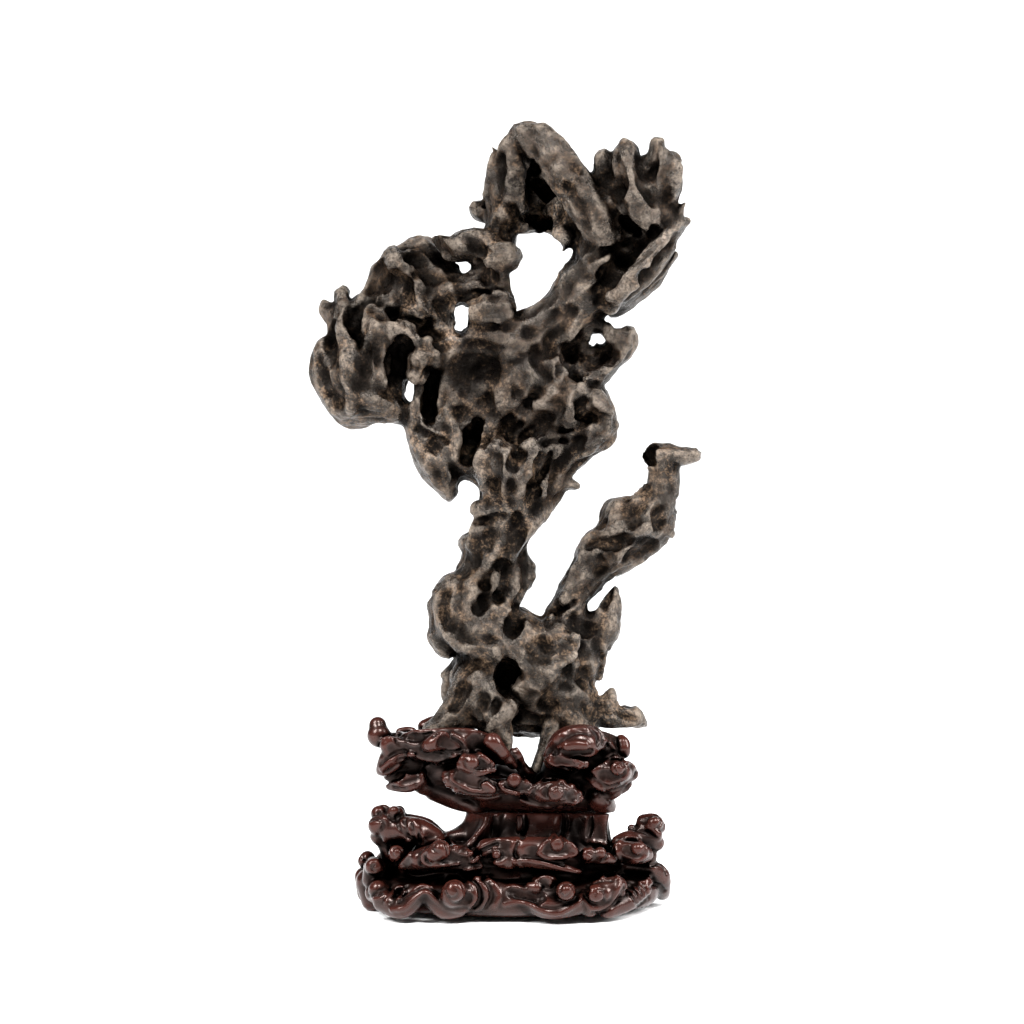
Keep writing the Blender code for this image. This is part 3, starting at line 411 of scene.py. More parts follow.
# Each row: kind, (x, v, depth, radius) along its middle line, depth factor, blend.
stoneShapes = [
    ("limb", [(0, 322, 0, 25), (-2, 304, 0, 24.5), (-8, 288, 2, 21.5), (-15, 270, 2, 22.5),
        (-17, 252, 2, 24.5)], 0.9),
    ("limb", [(-16, 250, 2, 24), (-25, 228, 2, 28), (-18, 208, 2, 30), (4, 192, 2, 32),
        (22, 178, 2, 33)], 0.85, 6),
    ("limb", [(-43, 237, 2, 17), (-46, 224, 2, 17), (-48, 208, 2, 15)], 1, 6),
    ("limb", [(-55, 204, 0, 9.5), (-52, 200, 0, 10)], 1, 4),
    ("limb", [(-54, 230, 0, 9.5), (-52, 224, 0, 8)], 1, 4),
    ("limb", [(-50, 247, 0, 5), (-44, 246, 0, 8)], 1, 4),
    ("limb", [(-34, 277, 0, 7.5), (-31, 272, 0, 8)], 1, 4),
    ("limb", [(24, 190, 2, 30), (46, 190, 2, 22), (50, 186, 2, 18)], 0.9, 6),
    ("limb", [(-15, 185, 0, 26), (-28, 167, -6, 21), (-40, 150, -10, 15), (-54, 138, -12, 9.5),
        (-62, 133, -12, 7), (-62, 122, -12, 6)], 0.9),
    ("limb", [(-24, 165, -14, 16), (-16, 147, -20, 14), (-9, 132, -22, 9), (-5, 120, -22, 6),
        (-4, 112, -20, 4)], 1),
    ("limb", [(-46, 143, -12, 8), (-32, 143, -14, 8), (-18, 144, -16, 8)], 0.9),
    ("limb", [(29, 138, -14, 6), (23, 122, -17, 4.6), (17, 106, -19, 4)], 1, 3),
    ("limb", [(84, 560.5, -5, 8), (88, 546.5, -8, 11), (95, 534, -8, 11), (102, 520, -6, 8)], 1, 4),
    ("limb", [(66, 544.5, -5, 7), (74, 530, -6, 12), (78, 516, -2, 10)], 1, 4),
    ("limb", [(112, 554.5, -4, 7), (112, 540, -5, 11)], 1, 4),
    ("limb", [(-9, 418, -4, 12), (-7, 400, -5, 12), (-5, 382, -5, 11)], 1, 4),
    ("limb", [(92, 550.5, -10, 6), (99, 560.5, -8, 5)], 1, 4),
    ("limb", [(50, 236, 0, 7), (58, 245, 0, 8), (66, 256, 0, 8)], 1, 2),
    ("limb", [(60, 212, -2, 9), (67, 224, -3, 8), (72, 236, -3, 5.5)], 1, 2),
    ("limb", [(-44, 176, 12, 8), (-47, 165, 14, 8), (-48.5, 160, 14, 5.5)], 0.8, 3),
    ("limb", [(-48, 176, 12, 6), (-52, 177.5, 12, 2.6)], 0.8, 3),
    ("limb", [(-30, 180, 12, 18), (-40, 165, 14, 12)], 0.8),
    ("limb", [(20, 170, 0, 30), (40, 162, -2, 22), (54, 153, -4, 14), (72, 146.5, -6, 10),
        (86, 145, -7, 8.4), (93, 144.5, -7, 7.6), (99, 141, -7, 3.6)], 0.85),
    ("limb", [(68, 150, -6, 9), (72.5, 159, -7, 5), (74, 164, -7, 2.2)], 1, 4),
    ("limb", [(8, 148, 2, 15), (16, 148, 2, 16), (26, 146, 0, 14)], 1),
    ("limb", [(5, 138, 2, 7), (20, 139, 2, 8)], 1, 4),
    ("limb", [(38, 152, -4, 16), (48, 140, -6, 15), (52, 126, -6, 13)], 1),
    ("limb", [(36, 196, 0, 24), (39, 212, 0, 18.5), (41, 226, 0, 15), (46, 240, 0, 13),
        (55, 256, 0, 14), (69, 270, 0, 18.5), (87, 283, 0, 23), (103, 296, 0, 18.5),
        (110, 309, 0, 13), (112, 323, 0, 12.5), (112.5, 338, 0, 12)], 0.85),
    ("limb", [(78, 297, 3, 14.5), (83, 300, 3, 13)], 0.8),
    ("limb", [(80, 262, 0, 8), (92, 270, 0, 9), (106, 283, 0, 9)], 1, 4),
    ("limb", [(60, 276, 0, 10), (54, 270, 0, 9)], 0.9, 4),
    ("limb", [(104, 342, -2, 7.5), (106, 343, -2, 9), (112, 343, -2, 8)], 0.9, 3),
    ("limb", [(116, 343, -2, 8), (127, 342.5, -3, 7.2), (136, 343.5, -3, 5.6)], 1, 3),
    ("limb", [(62, 205, -2, 12), (70, 214, -3, 11.5), (74, 226, -3, 8), (75.5, 236, -3, 6.2),
        (76, 240, -3, 5)], 0.9, 4),
    ("limb", [(56, 212, 0, 12), (62, 207, 0, 12)], 1, 4),
    ("limb", [(-66, 420, 0, 13), (-68, 405, 0, 11), (-69, 392, 0, 8), (-71, 377, 0, 11),
        (-66, 356, 0, 13), (-60, 341, 0, 15), (-51, 326, 0, 12), (-47, 315, 0, 7.5)], 0.9, 4),
    ("limb", [(-60, 362, 2, 18), (-44, 349, 2, 20), (-22, 339, 0, 20), (-4, 328, 0, 23)], 0.9),
    ("limb", [(22, 402, 4, 28), (34, 382, 4, 28), (29, 360, 5, 24), (12, 338, 4, 25)], 0.85, 6),
    ("limb", [(-30, 405, 8, 32), (-40, 380, 8, 30), (-20, 365, 8, 28)], 0.7, 6),
    ("limb", [(-20, 425, 2, 22), (-45, 420, 0, 16), (-62, 418, 0, 13)], 0.9),
    ("limb", [(56, 392, 0, 12), (60, 381, 0, 13), (66, 369, 0, 12.5), (64, 360, 0, 13),
        (50, 352, 0, 14), (38, 338, 0, 12), (31, 324, 0, 11.5), (25, 311, 0, 9)], 0.9, 4),
    ("limb", [(34, 323, -2, 7), (42, 321, -2, 4.4), (48, 319.2, -2, 2)], 1, 3),
    ("limb", [(55, 437, 0, 6), (66, 438, -1, 5.6), (74, 432, -1, 5.4), (80, 428, -1, 6),
        (87, 433.5, -1, 6), (86, 423, -1, 7), (78, 414, -1, 7), (68, 405, 0, 8),
        (58, 398, 0, 10)], 1, 3),
    ("limb", [(62, 500, 0, 18), (60, 483, 0, 19), (52, 466, 0, 22), (42, 449, 0, 22),
        (25, 438, 0, 20.5), (3, 428, 0, 21), (-20, 424, 0, 18)], 0.85),
    ("limb", [(-128, 445, 0, 12), (-129, 427, 0, 13), (-133, 412, 0, 19.5), (-129, 397, 0, 20),
        (-119, 382, 0, 19), (-104, 383, 0, 17), (-92, 380, 2, 14), (-84, 376, 2, 11)], 0.85),
    ("limb", [(-104, 430, 2, 24), (-98, 412, 2, 24), (-95, 398, 2, 20)], 0.8, 6),
    ("limb", [(-128, 443, -4, 7), (-127.5, 453, -4, 5), (-128, 462, -4, 4.4)], 1, 3),
    ("limb", [(-131, 443, 2, 9), (-136, 449, 2, 7.5), (-139.5, 453, 2, 5.6)], 1, 3),
    ("limb", [(-112, 444, 2, 14), (-106, 453, 2, 12), (-102, 466, 2, 9), (-99, 478, 2, 8.5),
        (-92, 482, 0, 8)], 0.9, 4),
    ("limb", [(-116, 452, 0, 8), (-112, 456, 0, 8)], 1, 3),
    ("limb", [(-98, 482, 0, 5), (-91, 487, -2, 7), (-89, 493, -2, 5)], 1, 3),
    ("limb", [(-88, 460, 2, 18), (-84, 474, 2, 14), (-74, 482, 2, 14)], 0.8),
    ("limb", [(-80, 435, 2, 16), (-72, 445, 2, 18), (-62, 452, 2, 18)], 0.8),
    ("limb", [(-84, 492, 12, 7.5), (-78, 494, 14, 9), (-70, 496, 15, 10), (-60, 489, 15, 11),
        (-50, 477, 14, 10.5), (-38, 470, 12, 9)], 1, 3),
    ("limb", [(-62, 503, -4, 2), (-55, 502, -4, 5.4), (-45, 497, -4, 9), (-34, 500, -4, 12),
        (-22, 499.5, -4, 11)], 1, 3),
    ("limb", [(-20, 495, -2, 12), (-9, 492, -6, 12.5), (-6, 491, -6, 12)], 1, 4),
    ("limb", [(-12, 487, -6, 10), (-9, 476, -4, 6.5), (-4, 463, -2, 5), (-1.5, 458, -1, 3.5)], 1, 3),
    ("limb", [(-60, 470, 2, 14), (-45, 462, 2, 14), (-28, 468, 4, 13), (-15, 470, 4, 11)], 0.9),
    ("limb", [(-30, 452, -6, 9), (-18, 450, -8, 12), (-8, 452, -8, 10)], 0.9, 3),
    ("limb", [(-55, 440, 0, 12), (-40, 432, 0, 11), (-28, 436, 0, 11)], 0.9, 4),
    ("limb", [(-10, 502, 4, 13), (-9, 518, 4, 10.5), (-9.5, 535, 4, 10), (-10, 550.5, 2, 8),
        (-3, 567.5, 0, 8.5), (9, 578.5, -2, 11.5), (21, 574.5, -4, 10.5), (33, 564.5, -6, 10.5),
        (42, 550.5, -6, 11.5), (50, 537, -6, 14), (60, 521, -6, 15), (67, 507, -4, 15)], 1, 4),
    ("limb", [(-12, 561.5, 2, 5), (-14, 567.5, 2, 2.4), (-16, 572, 2, 0.2)], 1, 3),
    ("limb", [(-18, 520, 10, 7), (-26, 524, 14, 6.5), (-27, 529, 14, 4.5)], 1, 3),
    ("limb", [(2, 543.5, 22, 13), (14, 524, 24, 13), (22, 540.5, 24, 16), (20, 556.5, 20, 13),
        (6, 558.5, 18, 9)], 0.8),
    ("limb", [(34, 522, 14, 13), (46, 515, 6, 14)], 0.9),
    ("limb", [(36, 500, -6, 6.5), (40, 503, -6, 7)], 1, 3),
    ("limb", [(4, 513, 12, 7), (18, 514, 14, 8), (32, 514, 10, 9)], 1, 4),
    ("limb", [(56, 541.5, 0, 7), (70, 543.5, 0, 13), (88, 540.5, 0, 18), (104, 538, 0, 17),
        (110, 525, 0, 11)], 0.85),
    ("limb", [(68, 551.5, -2, 8.5), (67, 563.5, -3, 6.6), (67.5, 565.5, -3, 6)], 1, 3),
    ("limb", [(78, 558.5, -1, 8), (78, 564.5, -2, 5)], 1, 3),
    ("limb", [(86, 556.5, -2, 10), (85.5, 565.5, -2, 6.5), (85, 571.5, -2, 3)], 1, 3),
    ("limb", [(103, 554.5, -1, 10), (105.5, 565.5, -2, 6.2), (106.5, 572, -2, 3.2)], 1, 3),
    ("limb", [(114, 546.5, 0, 11), (117.5, 557.5, 0, 6.2), (119.5, 561.5, 0, 3.8)], 1, 3),
    ("limb", [(111, 522, -4, 10), (115, 510, -4, 8.5), (110, 495, -4, 10), (98, 481, -4, 12),
        (84, 471, -2, 14), (68, 462, 0, 16)], 0.9, 4),
    ("limb", [(116, 514, -2, 6), (123, 523, -4, 3.8), (128, 529.5, -5, 1.8)], 1, 3),
    ("limb", [(118, 510, -2, 7.5), (125, 514, -2, 4), (130, 517, -2, 1.6)], 1, 3),
    ("limb", [(121, 491, 8, 3.6), (114, 484, 8, 6), (101, 471, 8, 8), (87, 462, 8, 9),
        (75, 453, 8, 9)], 1, 3),
    ("limb", [(95, 510, 8, 15), (80, 500, 8, 17), (95, 495, 6, 12)], 0.8),
    ("limb", [(84, 521, 14, 11)], 0.8, 4),
    ("bore", [(-78, 393, -60, 1.9), (-78, 393, 60, 1.9)]),
    ("bore", [(-77, 388, -60, 1.6), (-77, 388, 60, 1.6)]),
    ("lump", [(-2, 566, -6, 7), (0, 550, -6, 7), (4, 535, -5, 6), (8, 520, -3, 5),
        (7, 512, -1, 4)]),
    ("lump", [(22, 583, -11, 6), (33, 573, -13, 6), (45, 558, -15, 6.5), (55, 543, -17, 6.5),
        (63, 528, -17, 7), (68, 515, -15, 6)]),
    ("lump", [(84, 570, -5, 6), (85, 556, -10, 9), (91, 540, -15, 9.5), (98, 526, -16, 8.5),
        (104, 514, -15, 6)]),
    ("lump", [(107, 572, -5, 4), (113, 561, -9, 6), (118, 548, -9, 7), (116, 536, -8, 7)]),
    ("lump", [(127, 516.5, -4, 2), (118, 506, -12, 4), (108, 494, -15, 6), (98, 484, -18, 6),
        (90, 474, -20, 6), (80, 462, -19, 6), (74, 452, -14, 5)]),
    ("lump", [(66, 485, -15, 7)]),
    ("lump", [(-128, 460, -6, 4.5), (-127, 447, -12, 6), (-129, 434, -16, 6.5),
        (-127, 420, -20, 6.5), (-125, 407, -22, 6.5), (-123, 392, -21, 6), (-121, 378, -17, 6)]),
    ("lump", [(-98, 458, -12, 5), (-102, 445, -18, 5), (-107, 431, -22, 6), (-108, 415, -22, 6),
        (-106, 400, -20, 6)]),
    ("lump", [(-93, 436, -13, 7), (-84, 434, -18, 9.5), (-75, 429, -17, 8)]),
    ("lump", [(-93, 489, -6, 5.5), (-86, 483, -11, 7), (-81, 479, -10, 5)]),
    ("lump", [(-112, 392, -16, 8), (-102, 381, -14, 9), (-92, 376, -8, 8)]),
    ("lump", [(-72, 401, -12, 7), (-72, 412, -15, 8.5), (-65, 418, -15, 7)]),
    ("bore", [(-32, 405, -46, 34)]),
    ("bore", [(-39, 442, -60, 4), (-39, 442, 60, 4)]),
    ("bore", [(-37.2, 446.5, -60, 3.4), (-37.2, 446.5, 60, 3.4)]),
    ("bore", [(-37.3, 439, -60, 2.8), (-37.3, 439, 60, 2.8)]),
    ("bore", [(-33.5, 312, -60, 5), (-33.5, 312, 60, 5)]),
    ("bore", [(-36, 319, -60, 4), (-36, 319, 60, 4)]),
    ("lump", [(-27, 484, 4, 5.5), (-20, 480, 4, 7)]),
    ("lump", [(-46, 481, 6, 6), (-42, 477, 5, 6)]),
    ("bore", [(-36, 483.2, -60, 2.6), (-36, 483.2, 60, 2.6)]),
    ("lump", [(-29, 446, -11, 6.5), (-18, 446, -13, 7), (-8, 447, -12, 7)]),
    ("lump", [(-60, 476, -8, 6), (-52, 464, -10, 6), (-45, 454, -10, 5)]),
    ("lump", [(-74, 478, -8, 6), (-68, 464, -12, 6), (-60, 452, -14, 6)]),
    ("lump", [(52, 421, 9, 12), (64, 417, 8, 10), (74, 421, 7, 8)], 0.9),
    ("bore", [(59, 426, -60, 2.3), (59, 426, 60, 2.3)]),
    ("bore", [(59.5, 429, -60, 1.6), (59.5, 429, 60, 1.6)]),
    ("lump", [(52, 394, -12, 6), (60, 384, -13, 7), (66, 376, -12, 7)]),
    ("lump", [(70, 364, -9, 6), (62, 357, -12, 7), (52, 349, -11, 6)]),
    ("lump", [(-26, 342, -16, 7), (-22, 328, -17, 7), (-18, 316, -14, 6)]),
    ("lump", [(-12, 346, -18, 8), (-4, 331, -22, 8), (2, 318, -20, 7)]),
    ("lump", [(14, 346, -18, 6), (18, 330, -18, 7), (20, 314, -14, 6)]),
    ("lump", [(-60, 358, -12, 6), (-57, 342, -12, 6), (-50, 326, -9, 5)]),
    ("lump", [(25, 302, -6, 5), (13, 288, -15, 6), (4, 276, -18, 6), (-2, 266, -18, 5)]),
    ("lump", [(-24, 302, -8, 5), (-26, 288, -11, 6), (-30, 276, -14, 6)]),
    ("lump", [(-26, 226, -13, 6), (-20, 236, -11, 5), (-12, 246, -10, 4)]),
    ("lump", [(-53, 236, -8, 5), (-53, 218, -11, 5), (-45, 204, -14, 6), (-30, 196, -21, 7),
        (-14, 194, -24, 6)]),
    ("lump", [(9, 264, 0, 6), (12, 256, 0, 6), (11, 246, 0, 6)]),
    ("lump", [(36, 208, -15, 6), (44, 195, -19, 8), (50, 184, -17, 7)]),
    ("hollow", [(-112, 424, 24, 9), (-114, 404, 20, 8)], 0.9),
    ("hollow", [(-132, 430, 18, 6), (-134, 412, 20, 6)], 0.9),
    ("hollow", [(-62, 446, 22, 8), (-70, 432, 18, 7)], 0.9),
    ("hollow", [(-30, 402, 36, 11), (-34, 384, 33, 10)], 0.9),
    ("hollow", [(18, 404, 33, 9), (26, 384, 32, 9)], 0.9),
    ("hollow", [(60, 478, 20, 8), (52, 462, 22, 7)], 0.9),
    ("hollow", [(98, 545, 20, 8), (82, 552, 18, 6)], 0.9),
    ("hollow", [(20, 566, 38, 9), (14, 546, 42, 10)], 0.9),
    ("hollow", [(8, 342, 30, 9), (-4, 326, 28, 7)], 0.9),
    ("hollow", [(-52, 352, 25, 8), (-46, 338, 22, 6)], 0.9),
    ("hollow", [(-8, 292, 27, 7), (-4, 276, 26, 6)], 0.9),
    ("hollow", [(-22, 246, 29, 9), (-28, 226, 30, 9)], 0.9),
    ("hollow", [(26, 196, 34, 9), (10, 182, 36, 9)], 0.9),
    ("hollow", [(66, 284, 19, 6), (82, 296, 22, 6)], 0.9),
    ("hollow", [(100, 508, 24, 7)], 0.9),
    ("hollow", [(46, 184, 28, 6), (50, 170, 24, 5)], 0.9),
    ("hollow", [(-20, 178, 30, 7)], 0.9),
    ("crest", [(-136, 440, 14, 4), (-122, 418, 22, 5), (-112, 398, 20, 5), (-98, 382, 16, 4)]),
    ("crest", [(-90, 470, 18, 5), (-74, 456, 22, 5), (-56, 436, 20, 5), (-44, 420, 26, 5)]),
    ("crest", [(62, 520, 14, 5), (46, 490, 18, 5), (38, 462, 22, 5), (20, 436, 22, 5),
        (-4, 420, 28, 5)]),
    ("crest", [(9, 581, 10, 4), (22, 575, 26, 5), (34, 552, 30, 5), (28, 530, 32, 5)]),
    ("crest", [(-40, 372, 30, 5), (-20, 360, 30, 5), (2, 362, 28, 5), (24, 352, 28, 5)]),
    ("crest", [(-16, 316, 22, 5), (-14, 296, 24, 5), (-24, 272, 22, 4)]),
    ("crest", [(-8, 262, 26, 5), (-4, 236, 24, 5), (-12, 212, 30, 5), (4, 192, 32, 5)]),
    ("crest", [(52, 248, 14, 4), (66, 268, 20, 4), (88, 284, 22, 5), (106, 300, 16, 4)]),
]

# Worked on the front: kind, lift towards the viewer, (x, v, radius) along the line.
stoneLines = [
    ("swell", 1.9, [(0, 571, 7.6), (1, 560, 7.6), (0, 546, 7.6), (-3, 530, 7.6), (-9, 518, 6.6)]),
    ("scoop", 2, [(-12, 562, 5), (-13, 547, 5.5), (-16, 531, 5.5)]),
    ("edge", 1.2, [(-15.5, 566, 1.7), (-17, 554, 2.4), (-18.5, 540, 2.4), (-24, 525, 2.4)]),
    ("swell", 2.4, [(10, 580, 7.6), (21, 571, 9.5), (34, 557, 10.4), (46, 542, 11.4),
        (57, 525, 11.4), (64, 511, 10.4), (65, 497, 9.5), (60, 482, 8.5), (52, 467, 7.6)]),
    ("scoop", 3.4, [(33, 577, 9), (46, 563, 9)]),
    ("scoop", 1.9, [(38, 541, 4.5), (47, 528, 5.5), (52, 512, 5)]),
    ("bore", -7, [(11, 560, 3.5), (16, 555, 5), (20, 550, 4.5)], 2),
    ("bore", -7, [(18, 545, 5.5), (25, 538, 7), (31, 531, 5)], 2),
    ("bore", -6, [(10, 519, 5), (20, 517, 7), (29, 515, 5)], 2),
    ("scoop", 2, [(-14, 514, 5), (-3, 511, 6), (7, 511, 5)]),
    ("swell", 1, [(33, 529, 3.8), (34, 518, 3.8), (36, 508, 4.8)]),
    ("swell", 1.9, [(84, 573, 5.7), (85, 559, 8.5), (89, 543, 9.5), (96, 527, 8.5),
        (103, 516, 5.7)]),
    ("scoop", 1.6, [(75, 566, 3), (76, 553, 4.5), (75, 541, 5.5)]),
    ("scoop", 1.7, [(97, 571, 3), (98, 559, 5), (101, 546, 5.5), (107, 533, 4.5)]),
    ("scoop", 1, [(101, 563, 2.6), (104, 556, 2.4)]),
    ("swell", 1.2, [(107, 575, 4.8), (106, 563, 4.8)]),
    ("swell", 1.3, [(119, 563, 4.8), (119, 552, 5.7), (115, 540, 5.7)]),
    ("scoop", 1.9, [(114, 543, 5), (112, 531, 5)]),
    ("bore", -3, [(82, 520, 4.5), (87, 515, 5.5), (93, 509, 4)], 1.2),
    ("swell", 0.9, [(82, 526, 3.8)]),
    ("swell", 1.2, [(127, 516, 2.4), (117, 508, 4.8), (108, 495, 5.7), (98, 482, 5.7),
        (87, 470, 5.7), (76, 461, 5.7)]),
    ("scoop", 2.1, [(106, 509, 4), (96, 497, 6), (84, 486, 6.5), (72, 475, 6)]),
    ("scoop", 1.8, [(123, 504, 3.5), (116, 491, 5), (106, 479, 5.5), (94, 468, 4.5)]),
    ("groove", 0.6, [(54, 488, 2.4), (66, 493, 3), (79, 498, 3), (90, 504, 2.4)]),
    ("swell", 1.8, [(-125, 431, 6.2), (-123, 415, 7.6), (-119, 398, 7.6)]),
    ("scoop", 2.1, [(-115, 452, 5), (-114, 443, 6.5), (-115, 434, 5)]),
    ("scoop", 1.8, [(-136, 440, 4), (-138, 427, 5), (-138, 412, 5)]),
    ("scoop", 2.2, [(-146, 415, 5), (-143, 396, 6), (-136, 381, 6)]),
    ("swell", 2, [(-104, 448, 6.6), (-103, 432, 8.5), (-102, 414, 8.5), (-102, 398, 7.6)]),
    ("scoop", 1.8, [(-112, 424, 4.5), (-112, 408, 5), (-110, 392, 5)]),
    ("swell", 1.7, [(-95, 438, 7.6), (-84, 434, 7.6), (-76, 429, 5.7)]),
    ("scoop", 2.5, [(-83, 424, 6), (-83, 411, 8), (-86, 399, 6)]),
    ("scoop", 1.5, [(-83, 418, 4), (-84, 405, 4)]),
    ("scoop", 1.6, [(-106, 454, 4), (-98, 450, 4.5), (-90, 446, 4)]),
    ("swell", 1.6, [(-92, 455, 6.6), (-80, 455, 6.6), (-70, 449, 5.7)]),
    ("groove", 0, [(-90, 446, 3), (-80, 445, 3.5), (-71, 441, 3)]),
    ("swell", 1.6, [(-90, 492, 5.7), (-85, 484, 7.6), (-79, 478, 5.7)]),
    ("scoop", 1.9, [(-101, 474, 4.5), (-92, 471, 5.5), (-83, 470, 5)]),
    ("scoop", 2.1, [(-104, 482, 6), (-107, 468, 5)]),
    ("scoop", 2.3, [(-98, 462, 6), (-84, 463, 6)]),
    ("scoop", 4, [(-68, 494, 11), (-60, 484, 11)]),
    ("scoop", 3.6, [(-60, 468, 10), (-50, 452, 9)]),
    ("edge", 1.2, [(-86, 491, 2.4), (-76, 478, 3), (-66, 462, 3), (-58, 446, 3)]),
    ("scoop", 2.3, [(-34, 503, 6), (-26, 494, 6)]),
    ("scoop", 1.7, [(-24, 484, 4), (-18, 472, 5)]),
    ("edge", 1.2, [(-33, 461, 2.2), (-20, 463, 2.4), (-6, 461, 2.4)]),
    ("edge", 1.2, [(-21, 460, 2.2), (-16, 448, 2.4), (-6, 438, 2.4)]),
    ("swell", 1.2, [(-68, 423, 4.8), (-57, 433, 4.8), (-45, 436, 4.8), (-33, 434, 4.8),
        (-27, 428, 4.8)]),
    ("swell", 1.2, [(-27, 428, 4.8), (-14, 433, 4.8), (-2, 429, 4.8)]),
    ("scoop", 1.8, [(-52, 425, 5), (-44, 424, 4.5)]),
    ("swell", 1.9, [(-4, 424, 7.6), (5, 412, 8.5), (5, 396, 8.5), (0, 380, 7.6), (-6, 368, 6.6)]),
    ("edge", 1.2, [(-10, 433, 2.4), (4, 425, 3), (13, 412, 3.6), (14, 398, 3.6), (9, 382, 3.6),
        (-1, 368, 3)]),
    ("scoop", 3.4, [(-32, 405, 17)]),
    ("swell", 1.4, [(-73, 402, 5.7), (-72, 412, 6.6), (-64, 417, 6.6), (-57, 410, 3.8)]),
    ("bore", -4, [(-60.5, 399, 5), (-61.5, 388, 7), (-62.5, 376, 6.6), (-62, 369, 4)], 2.2),
    ("scoop", 2.2, [(-43, 374, 5), (-34, 372, 6), (-25, 369, 6)]),
    ("bore", -3, [(-31, 360, 5.5), (-33, 350, 7.5), (-34, 341, 6.5)], 2),
    ("bore", -3, [(-26, 366, 5), (-27, 358, 5)], 2),
    ("swell", 1.3, [(-50, 378, 4.8), (-47, 366, 5.7), (-44, 357, 4.8)]),
    ("scoop", 2.7, [(-62, 352, 7), (-54, 342, 7)]),
    ("scoop", 2.1, [(-60, 332, 6), (-52, 321, 5)]),
    ("groove", 0, [(-72, 362, 2.4), (-60, 356, 3), (-50, 352, 2.4)]),
    ("swell", 1.3, [(-14, 376, 4.8), (-13, 364, 5.7), (-9, 350, 5.7)]),
    ("swell", 1.3, [(14, 376, 5.7), (6, 364, 5.7), (-2, 352, 4.8)]),
    ("scoop", 1.6, [(4, 373, 4), (-5, 361, 4.5), (-8, 350, 4)]),
    ("scoop", 2.5, [(17, 420, 5), (24, 410, 8), (25, 398, 8), (18, 386, 7), (8, 374, 5)]),
    ("edge", 1.2, [(51, 460, 2.4), (46, 444, 3), (41, 427, 3.6), (35, 412, 3.6), (32, 399, 3)]),
    ("edge", 1.2, [(60, 438, 2.4), (50, 421, 3.1), (39, 403, 3.6), (27, 385, 3.6), (10, 361, 3)]),
    ("scoop", 2.3, [(42, 448, 6), (34, 432, 7), (28, 420, 5)]),
    ("scoop", 3.8, [(14, 436, 10), (28, 444, 10)]),
    ("scoop", 1.7, [(50, 432, 4), (43, 416, 5), (37, 404, 4.5)]),
    ("scoop", 2.3, [(33, 390, 6), (25, 378, 6.5), (16, 366, 6)]),
    ("scoop", 2.2, [(48, 408, 6), (40, 393, 6.5), (32, 379, 6), (22, 366, 5)]),
    ("swell", 1.4, [(53, 413, 5.7), (50, 404, 5.7)]),
    ("scoop", 1.7, [(56, 395, 5), (64, 402, 4)]),
    ("groove", 0, [(46, 400, 2.4), (54, 396, 3), (62, 397, 2.4)]),
    ("swell", 1.5, [(62, 385, 6.6), (69, 376, 5.7)]),
    ("scoop", 1.9, [(50, 384, 5), (55, 374, 5)]),
    ("groove", 0, [(48, 372, 2.6), (60, 370, 3.2), (74, 371, 2.4)]),
    ("scoop", 1.9, [(70, 363, 5), (60, 354, 5)]),
    ("scoop", 2.8, [(24, 354, 6), (34, 357, 9), (44, 356, 7)]),
    ("groove", 0.5, [(4, 357, 2.4), (14, 360, 3), (26, 360, 3)]),
    ("groove", 0, [(22, 348, 1.6), (28, 353, 2), (40, 353, 2)]),
    ("groove", 0, [(26, 363, 1.6), (34, 361, 2), (45, 362, 2)]),
    ("scoop", 2.3, [(44, 344, 6), (36, 334, 6)]),
    ("swell", 1.3, [(78, 432, 3.8), (84, 428, 5.7), (82, 418, 5.7)]),
    ("scoop", 2.1, [(66, 420, 6), (74, 413, 5)]),
    ("edge", 1.2, [(-16, 348, 2.9), (-4, 358, 3.6), (8, 370, 3.8), (20, 381, 3.8),
        (31, 393, 3.6), (37, 404, 3.1)]),
    ("scoop", 1.7, [(-12, 342, 4), (2, 352, 5), (14, 362, 5), (24, 371, 4)]),
    ("edge", 1.2, [(44, 386, 2.9), (54, 394, 3.6), (64, 403, 3.6), (74, 415, 3.1),
        (82, 428, 2.9)]),
    ("edge", 1.2, [(-26, 336, 2.6), (-14, 330, 3.4), (-2, 340, 3.6), (8, 348, 3.1)]),
    ("edge", 1.2, [(-4, 322, 2.6), (8, 334, 3.6), (20, 342, 3.6), (34, 345, 2.9)]),
    ("edge", 1.2, [(50, 372, 2.4), (58, 380, 3.1), (68, 382, 2.9)]),
    ("edge", 1.2, [(46, 358, 2.4), (58, 362, 3.1), (70, 362, 2.9)]),
    ("scoop", 2.1, [(-68, 342, 5), (-60, 350, 6)]),
    ("edge", 1.2, [(-74, 352, 2.6), (-64, 344, 3.4), (-56, 334, 3.4), (-50, 322, 2.9)]),
    ("edge", 1.2, [(-50, 378, 2.6), (-46, 366, 3.4), (-42, 354, 3.1), (-44, 342, 2.6)]),
    ("swell", 1.3, [(-20, 342, 5.7), (-21, 330, 5.7), (-20, 319, 4.8)]),
    ("swell", 1.6, [(-6, 345, 6.6), (-8, 332, 6.6), (-8, 318, 5.7)]),
    ("swell", 1.6, [(14, 346, 6.6), (10, 332, 6.6), (6, 318, 5.7)]),
    ("scoop", 1.4, [(-13, 342, 3.5), (-15, 330, 4), (-14, 317, 3.5)]),
    ("scoop", 1.6, [(4, 344, 4), (1, 330, 4.5), (-1, 316, 4)]),
    ("scoop", 2.2, [(26, 337, 6), (20, 324, 6), (16, 310, 5)]),
    ("groove", 0, [(28, 344, 2.4), (24, 332, 3), (14, 320, 2.6)]),
    ("swell", 1.4, [(-26, 303, 5.7), (-16, 300, 6.6), (-8, 297, 4.8)]),
    ("groove", -0.5, [(-28, 293, 3), (-18, 294, 3.6), (-6, 297, 3)]),
    ("scoop", 2.5, [(-30, 282, 7), (-28, 270, 6)]),
    ("swell", 1.3, [(-7, 298, 4.8), (-9, 284, 5.7), (-12, 270, 4.8)]),
